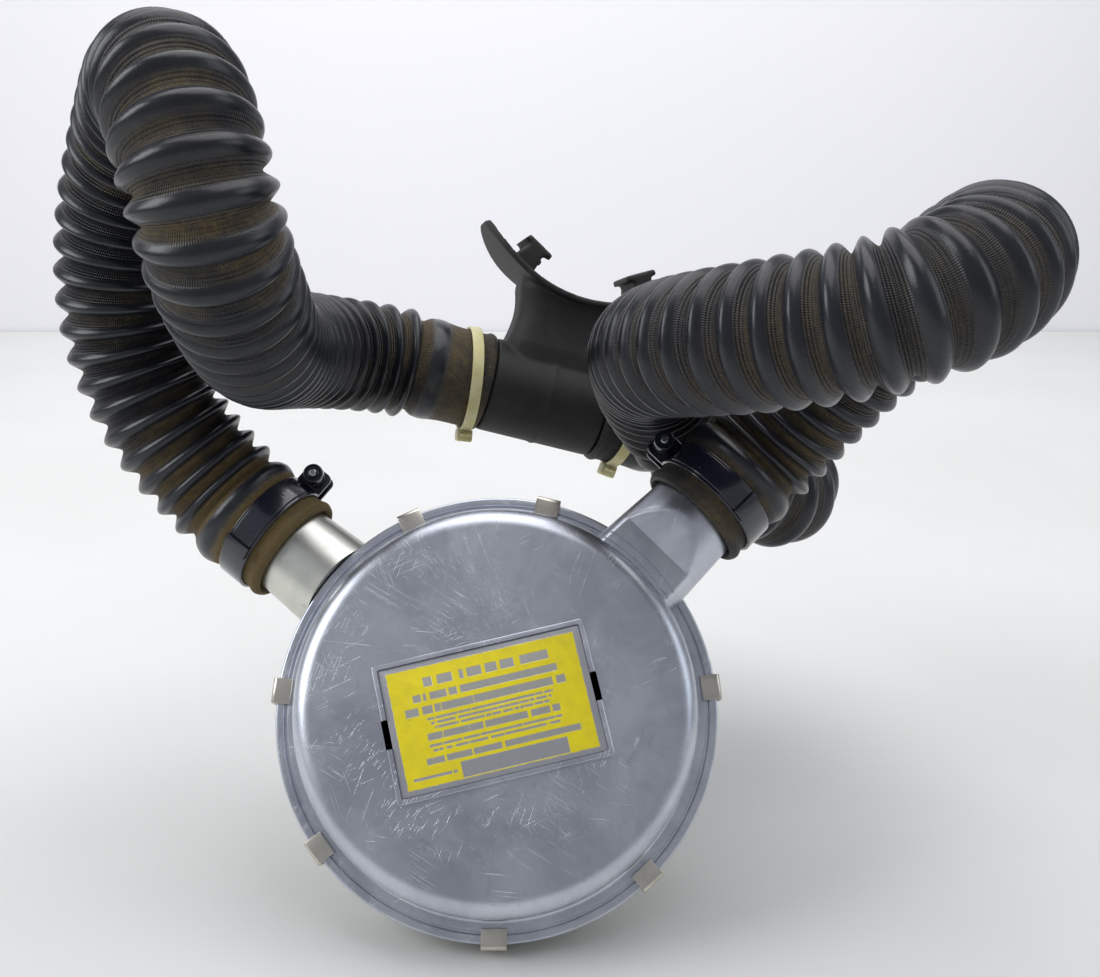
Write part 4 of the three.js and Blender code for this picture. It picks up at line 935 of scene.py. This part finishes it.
def rim_clip(number, angle):
    """A channel of spring metal pressed over both flanges."""
    place = Matrix.Rotation(math.radians(angle), 4, "Z") @ UPRIGHT
    inside, outside, lip = FLANGE_RADIUS + 0.6, FLANGE_RADIUS + 1.8, FLANGE_RADIUS - 5.4
    inner, outer = 3.2, 4.4
    channel = prism(f"rim_clip_{number}_channel", rounded([
        (lip, -outer, 0.5), (outside, -outer, 1.6), (outside, outer, 1.6), (lip, outer, 0.5),
        (lip, inner, 0.5), (inside, inner, 0.5), (inside, -inner, 0.5), (lip, -inner, 0.5),
    ]), -4.5, 4.5)
    bevelled(channel, 0.3, 2, 50)
    moved(channel, place)
    finished(smooth(channel), CAN, NICKEL, "can", "nickel", f"rim_clip_{number}")


def label_plate():
    plate = prism("label_plate_enamelled", rectangle(*LABEL_SIZE, 0.8), 0.3, 1.1)
    planned(smooth(bevelled(plate, 0.15, 2)))
    moved(plate, LABEL_PLACE)
    finished(plate, CAN, LABEL, "can", "yellow_label", "label_plate")


# ---- The inlet and the yoke ----


def inlet_nozzle():
    nozzle = turned("inlet_nozzle_turned", [
        (4.2, -48, 0.4), (7.5, -48, 0.6), (7.5, -35.3, 0), (14, -35.3, 0.5), (14, -32.3, 0.5),
        (9, -32.3, 0), (9, -21.5, 0.5), (3, -21.5, 0.3), (3, -31, 0), (1.6, -31, 0), (1.6, -34, 0),
        (4.2, -34, 0),
    ], 96)
    port = disc("port", 1.8, 1.6, 18, 0, 32)
    cut(nozzle, moved(port, along_angle(INTAKE_ANGLE, 0, -24.6)))
    finished(smooth(nozzle), CAN, BRASS, "can", "brass", "inlet_nozzle")


CYCLE = Matrix(((0, 0, 1, 0), (1, 0, 0, 0), (0, 1, 0, 0), (0, 0, 0, 1)))
YOKE_FRONT, YOKE_BACK = -35.6, -91


def yoke():
    frame_shape = prism("yoke_forging", rounded([
        (-26, YOKE_BACK, 8), (26, YOKE_BACK, 8), (26, YOKE_FRONT, 8), (-26, YOKE_FRONT, 8)
    ]), -12, 12)
    room = rounded([(-20, -82, 4), (20, -82, 4), (20, -40.6, 4), (-20, -40.6, 4)])
    space = prism("space", room, -20, 20)
    moved(frame_shape, UPRIGHT)
    middle = (YOKE_FRONT + YOKE_BACK) / 2
    waists = [
        moved(prism("waist", rounded([
            (side * 12.5, middle - 16, 0), (side * 7.5, middle - 8, 3), (side * 7.5, middle + 8, 3),
            (side * 12.5, middle + 16, 0), (side * 24, middle + 16, 0), (side * 24, middle - 16, 0),
        ]), -60, 60), CYCLE)
        for side in (-1, 1)
    ]
    cut(frame_shape, moved(space, UPRIGHT), *waists)
    nozzle_hole = disc("nozzle_hole", 7.8, -42, -34, 0, 64)
    cut(frame_shape, nozzle_hole, disc("screw_hole", 5.8, -92, -81, 0, 64))
    bevelled(frame_shape, 0.9, 3, 40)
    finished(smooth(frame_shape, 40), CAN, BRIGHT, "can", "chrome", "yoke")


def yoke_nut():
    corners = [(12 * math.cos(i * math.pi / 3), 12 * math.sin(i * math.pi / 3)) for i in range(6)]
    nut = prism("yoke_nut_hexagon", corners, -44.9, -40.9)
    cut(nut, disc("blank", 11.7, -45.5, -40, 1.2, 96), operation="INTERSECT")
    cut(nut, disc("hole", 7.8, -46, -39, 0, 64))
    finished(smooth(nut, 25), CAN, BRIGHT, "can", "chrome", "yoke_nut")


def yoke_screw():
    """A rod with a true helical thread and a plain conical point."""
    low, high, pitch, depth = -104, -77, 1.5, 0.55
    loops = []
    levels = np.arange(low, high + 0.01, pitch / 12)
    for z in levels:
        plain = straight(z, high - 3.2, high - 2.6)
        point = 1.6 * straight(z, high - 1.6, high)
        loop = []
        for turn in np.linspace(0, 2 * math.pi, 48, endpoint=False):
            phase = (z / pitch - turn / (2 * math.pi)) % 1
            groove = depth * (1 - abs(2 * phase - 1)) * (1 - plain)
            radius = 5.5 - groove - depth * plain - point
            loop.append((radius * math.cos(turn), radius * math.sin(turn), z))
        loops.append(loop)
    rod = loft("yoke_screw_threaded", loops)
    finished(smooth(rod, 50), CAN, BRIGHT, "yoke_screw", "chrome", "yoke_screw")


def yoke_knob():
    """A six-lobed hand knob with rounded edges and a recess in its outer face."""
    loops = []
    for level, inset in ((-106, 1.4), (-105.6, 0.5), (-104.8, 0), (-95.2, 0), (-94.4, 0.5), (-94, 1.4)):
        loop = []
        for turn in np.linspace(0, 2 * math.pi, 216, endpoint=False):
            lobe = math.cos(6 * (turn - math.pi / 2 - math.pi / 6))
            radius = 12.7 + 5.0 * max(0, 0.5 + 0.5 * lobe) ** 1.15 - inset
            loop.append((radius * math.cos(turn), radius * math.sin(turn), level))
        loops.append(loop)
    knob = loft("yoke_knob_moulded", loops)
    cut(knob, disc("hole", 5.8, -107, -93, 0, 64), ring("recess", 7.5, 9.5, -107, -105.2, 0, 96))
    finished(smooth(knob, 30), CAN, PLASTIC, "yoke_knob", "black_plastic", "yoke_knob")


# ---- Hose clamps, drawn about z with the ears towards +x and the screw along y ----

EAR_HEIGHT, EAR_SPREAD, SCREW_AT = 8, 2.2, BAND_RADIUS + 5.2


def clamp_place(angle, level, turn):
    outward, front = Vector((math.cos(angle), math.sin(angle), 0)), Vector((0, 0, 1))
    across = outward.cross(front) * turn
    basis = Matrix((across, front, across.cross(front))).transposed().to_4x4()
    return CAN @ Matrix.Translation(outward * BAND_REACH + front * level) @ basis


def across_ears(obj):
    return moved(obj, Matrix.Translation((SCREW_AT, 0, 0)) @ TO_Y)


def strip(radius, start, stop, low, high, thickness, steps=160):
    """A curved strip of band with rounded edges, between two angles."""
    loops = []
    outline = rounded([
        (radius, low, 0.25), (radius + thickness, low, 0.5), (radius + thickness, high, 0.5),
        (radius, high, 0.25),
    ])
    for turn in np.linspace(start, stop, steps):
        loops.append([(r * math.cos(turn), r * math.sin(turn), z) for r, z in outline])
    return loft("strip", loops)


def clamp(side, angle, level, turn):
    place = clamp_place(angle, level, turn)
    half = BAND_WIDTH / 2
    gap = math.asin(EAR_SPREAD / BAND_RADIUS)
    band = strip(BAND_RADIUS, gap, 2 * math.pi - gap, -half, half, BAND_THICKNESS)
    band.name = f"{side}_clamp_band_pressed"
    ears = []
    for way in (-1, 1):
        y = sorted((way * EAR_SPREAD, way * (EAR_SPREAD + BAND_THICKNESS)))
        ear = prism("ear", rounded([
            (BAND_RADIUS + 0.3, -half, 0.3), (BAND_RADIUS + EAR_HEIGHT + 1.2, -half, 2.5),
            (BAND_RADIUS + EAR_HEIGHT + 1.2, half, 2.5), (BAND_RADIUS + 0.3, half, 0.3),
        ]), -y[1], -y[0])
        ears.append(bevelled(moved(ear, UPRIGHT), 0.25, 2))
    overlap = strip(BAND_RADIUS + BAND_THICKNESS - 0.2, 0.6, 2.1, -half + 1.2, half - 1.2, 0.9, 60)
    lip = strip(BAND_RADIUS + BAND_THICKNESS - 0.45, 2.065, 2.26, -half + 0.4, half - 0.4, 2.45, 13)
    fuse(band, *ears, overlap, lip)
    cut(band, across_ears(disc("hole", 1.8, -8, 8, 0, 48)))
    finished(smooth(band, 40), place, ENAMEL, "can", "black_clamp", f"{side}_clamp_band")

    face = EAR_SPREAD + BAND_THICKNESS + CLEARANCE
    nut = ring(f"{side}_clamp_nut_barrel", 1.8, 3.8, face, face + 6, 0.5, 64)
    finished(smooth(across_ears(nut)), place, ENAMEL, "can", "black_clamp", f"{side}_clamp_nut")
    head = turned(f"{side}_clamp_screw_turned", [
        (0, -face - 3, 0), (3.6, -face - 3, 0.9), (3.6, -face, 0.3), (1.5, -face, 0),
        (1.5, face + 6.8, 0.5), (0, face + 6.8, 0),
    ], 64)
    cut(head, box("slot", (-5, 5), (-0.5, 0.5), (-face - 4, -face - 1.7)))
    screw_body = f"{side}_clamp_screw"
    finished(smooth(across_ears(head)), place, STEEL, screw_body, "steel", screw_body)


# ---- Mouthpiece and its ties ----


def lip_point(x, lift):
    reach, angle = LIP_CURVE - lift, math.asin(x / LIP_CURVE)
    return (LIP_OFFSET + reach * math.sin(angle), LIP_LEVEL + LIP_CURVE - reach * math.cos(angle))


def voxelled(obj, size, rounds):
    """Melts overlapping solids into one soft moulded skin."""
    remesh = obj.modifiers.new("melt", "REMESH")
    remesh.mode = "VOXEL"
    remesh.voxel_size = size
    soften = obj.modifiers.new("soften", "SMOOTH")
    soften.iterations = rounds
    soften.factor = 0.5
    return applied(obj)


def mouthpiece():
    """A T of soft rubber: tube, flared neck, curved lip and two bite lugs."""
    end = TEE_END
    tube = moved(turned("mouthpiece_moulding", [
        (0, -end, 0), (HORN_RADIUS, -end, 1), (HORN_RADIUS, -TEE_HALF, 0.6),
        (TEE_RADIUS, -TEE_HALF, 0.8), (TEE_RADIUS, TEE_HALF, 0.8), (HORN_RADIUS, TEE_HALF, 0.6),
        (HORN_RADIUS, end, 1), (0, end, 0),
    ]), TO_X)
    neck_loops = []
    for level in np.linspace(1, LIP_LEVEL + 12, 36):
        flare = 3.0 * straight(level, 30, 44) ** 2 + 4.0 * straight(22, 1, level + 1) ** 2
        corners = rectangle(46 + 1.6 * flare - 4, 29 + flare - 2, 10)
        neck_loops.append([(x + NECK_OFFSET, y, level) for x, y in corners])
    neck = loft("neck", neck_loops)
    spans = np.linspace(-LIP_HALF, LIP_HALF, 60)
    above = [lip_point(x, LIP_THICKNESS / 2) for x in spans] + [(60, 120), (-50, 120)]
    cut(neck, moved(prism("above", above, -40, 40), UPRIGHT))
    outline = [lip_point(x, 0) for x in spans] + [lip_point(x, LIP_THICKNESS) for x in spans[::-1]]
    lip_width = prism("lip", outline, -19, 19)
    ends = prism("ends", rounded([(-44, -19, 18), (55, -19, 18), (55, 19, 18), (-44, 19, 18)]), 20, 90)
    lip = cut(moved(lip_width, UPRIGHT), ends, operation="INTERSECT")
    lugs = []
    for side in (-1, 1):
        stalk = [lip_point(side * x, z) for x, z in ((25, 1), (36, 1), (34, 14), (26.5, 14))]
        edges = (22.5, 11.6), (37.5, 11.6), (37.5, 14.4), (22.5, 14.4)
        pad = [lip_point(side * x, z) for x, z in edges]
        for points in (stalk, pad):
            shape = prism("lug", points if side > 0 else points[::-1], -LUG_HALF, LUG_HALF)
            lugs.append(moved(shape, UPRIGHT))
    seam = moved(ring("seam", TEE_RADIUS - 1, TEE_RADIUS + 0.6, -0.5, 0.5), TO_X)
    fuse(tube, neck, lip, *lugs, seam)
    voxelled(tube, 0.8, 4)
    bore = moved(disc("bore", TEE_BORE, -end - 1, end + 1, 0), TO_X)
    mouth = prism("mouth", rectangle(38, 21, 6), 0, 86)
    moved(mouth, Matrix.Translation((NECK_OFFSET, 0, 0)))
    cut(tube, bore, mouth)
    finished(
        smooth(tube, 50), MOUTHPIECE, MOUTH_RUBBER, "can", "black_rubber", "mouthpiece"
    )


def cable_tie(name, side, from_lip):
    inner = CUFF_RADIUS / math.cos(TIE_TILT) + TIE_HALF * math.sin(TIE_TILT) + CLEARANCE
    tie = ring(f"{name}_moulding", inner, inner + 1.3, -TIE_HALF, TIE_HALF, 0.4)
    head = box("head", (inner + 0.4, inner + 5.8), (-4, 4), (-3.4, 3.4))
    tail = box("tail", (inner + 2.2, inner + 3.4), (-7.5, 5), (-2.3, 2.3))
    fuse(tie, bevelled(head, 0.9), bevelled(tail, 0.3))
    turn = Matrix.Rotation(math.pi / 2 + side * TIE_TILT, 4, "Y")
    moved(tie, Matrix.Translation((side * (TEE_HALF + CLEARANCE + from_lip), 0, 0)) @ turn)
    finished(smooth(tie), MOUTHPIECE, NYLON, "can", "nylon", name)


front_cover()
rear_body()
diaphragm()
for number, angle in enumerate(CLIP_ANGLES, 1):
    rim_clip(number, angle)
label_plate()
inlet_nozzle()
yoke()
yoke_nut()
yoke_screw()
yoke_knob()
clamp("intake", INTAKE_ANGLE, INTAKE_LEVEL, 1)
clamp("exhaust", EXHAUST_ANGLE, EXHAUST_LEVEL, -1)
mouthpiece()
cable_tie("intake_cable_tie", -1, 7.5)
cable_tie("exhaust_cable_tie", 1, 15)

# The small pieces inside keep their plain solids, with better finishes.
INNER_FINISHES = (
    (STEEL, ("diaphragm_plate", "seat_spring", "push_pin", "filter_ring", "lever_bracket")),
    (STEEL, ("primary_lever", "secondary_lever", "primary_pivot_pin", "secondary_pivot_pin")),
    (BRASS, ("body_nut", "venturi_jet")),
    (BRONZE, ("inlet_filter",)),
    (PLASTIC, ("valve_seat", "intake_valve_cage", "exhaust_valve_cage")),
    (THIN_RUBBER, ("exhaust_valve", "intake_valve_flap", "exhaust_valve_flap")),
)
for finish, names in INNER_FINISHES:
    for name in names:
        for material_slot in frame["nodes"][name].material_slots:
            material_slot.material = finish

# ---- Stage and lights ----


def painted_card():
    """Pale grey-green card, faintly mottled, with a few scuffs."""
    finish = Finish("painted_card")
    point = finish.point()
    broad = finish.noise(point, 3.0, 3.0)
    fine = finish.noise(point, 90.0, 4.0, 0.6)
    tone = finish.mix(broad.step(0.3, 0.7), (0.72, 0.725, 0.705), (0.76, 0.765, 0.75))
    return finish.done(tone, 0.55 + fine * 0.2)


def backdrop_card():
    """White card, slightly lavender, faintly mottled."""
    finish = Finish("backdrop_card")
    broad = finish.noise(finish.point(), 1.5, 2.0)
    tone = finish.mix(broad, (0.80, 0.795, 0.83), (0.83, 0.825, 0.85))
    return finish.done(tone, 0.8 + broad * 0.1)


def stage_piece(name, corners, material):
    mesh = bpy.data.meshes.new(name)
    mesh.from_pydata(corners, [], [tuple(range(len(corners)))])
    mesh.materials.append(material)
    new_object(name, mesh)


def lamp(name, place, aim, size, power, tint):
    data = bpy.data.lights.new(name, "AREA")
    data.shape = "RECTANGLE"
    data.size, data.size_y = size
    data.energy = power
    data.color = tint
    light = new_object(name, data)
    light.location = place
    light.rotation_euler = (Vector(aim) - Vector(place)).to_track_quat("-Z", "Y").to_euler()


stage_piece("floor", [(-3, -2, 0), (3, -2, 0), (3, 1.25, 0), (-3, 1.25, 0)], painted_card())
stage_piece(
    "backdrop", [(-4, 1.25, -0.02), (4, 1.25, -0.02), (4, 1.9, 3), (-4, 1.9, 3)], backdrop_card()
)
lamp("overhead_softbox", (0.1, 0.15, 1.5), (0, 0, 0.1), (1.8, 1.3), 15, (1.0, 0.99, 1.0))
lamp("left_softbox", (-1.3, -0.35, 0.95), (0, 0, 0.1), (0.9, 0.9), 11, (0.97, 0.98, 1.0))
lamp("right_window", (1.5, -0.3, 0.9), (0, 0, 0.1), (0.7, 1.1), 3.5, (0.9, 0.95, 1.0))
lamp("backdrop_wash", (0, 0.7, 1.5), (0, 1.7, 0.8), (2.5, 0.5), 10, (1, 1, 1))

world = bpy.data.worlds.new("studio")
world.use_nodes = True
world.node_tree.nodes["Background"].inputs["Color"].default_value = (0.91, 0.93, 1.0, 1.0)
world.node_tree.nodes["Background"].inputs["Strength"].default_value = 0.34
bpy.context.scene.world = world
bpy.context.scene.view_settings.view_transform = "Standard"
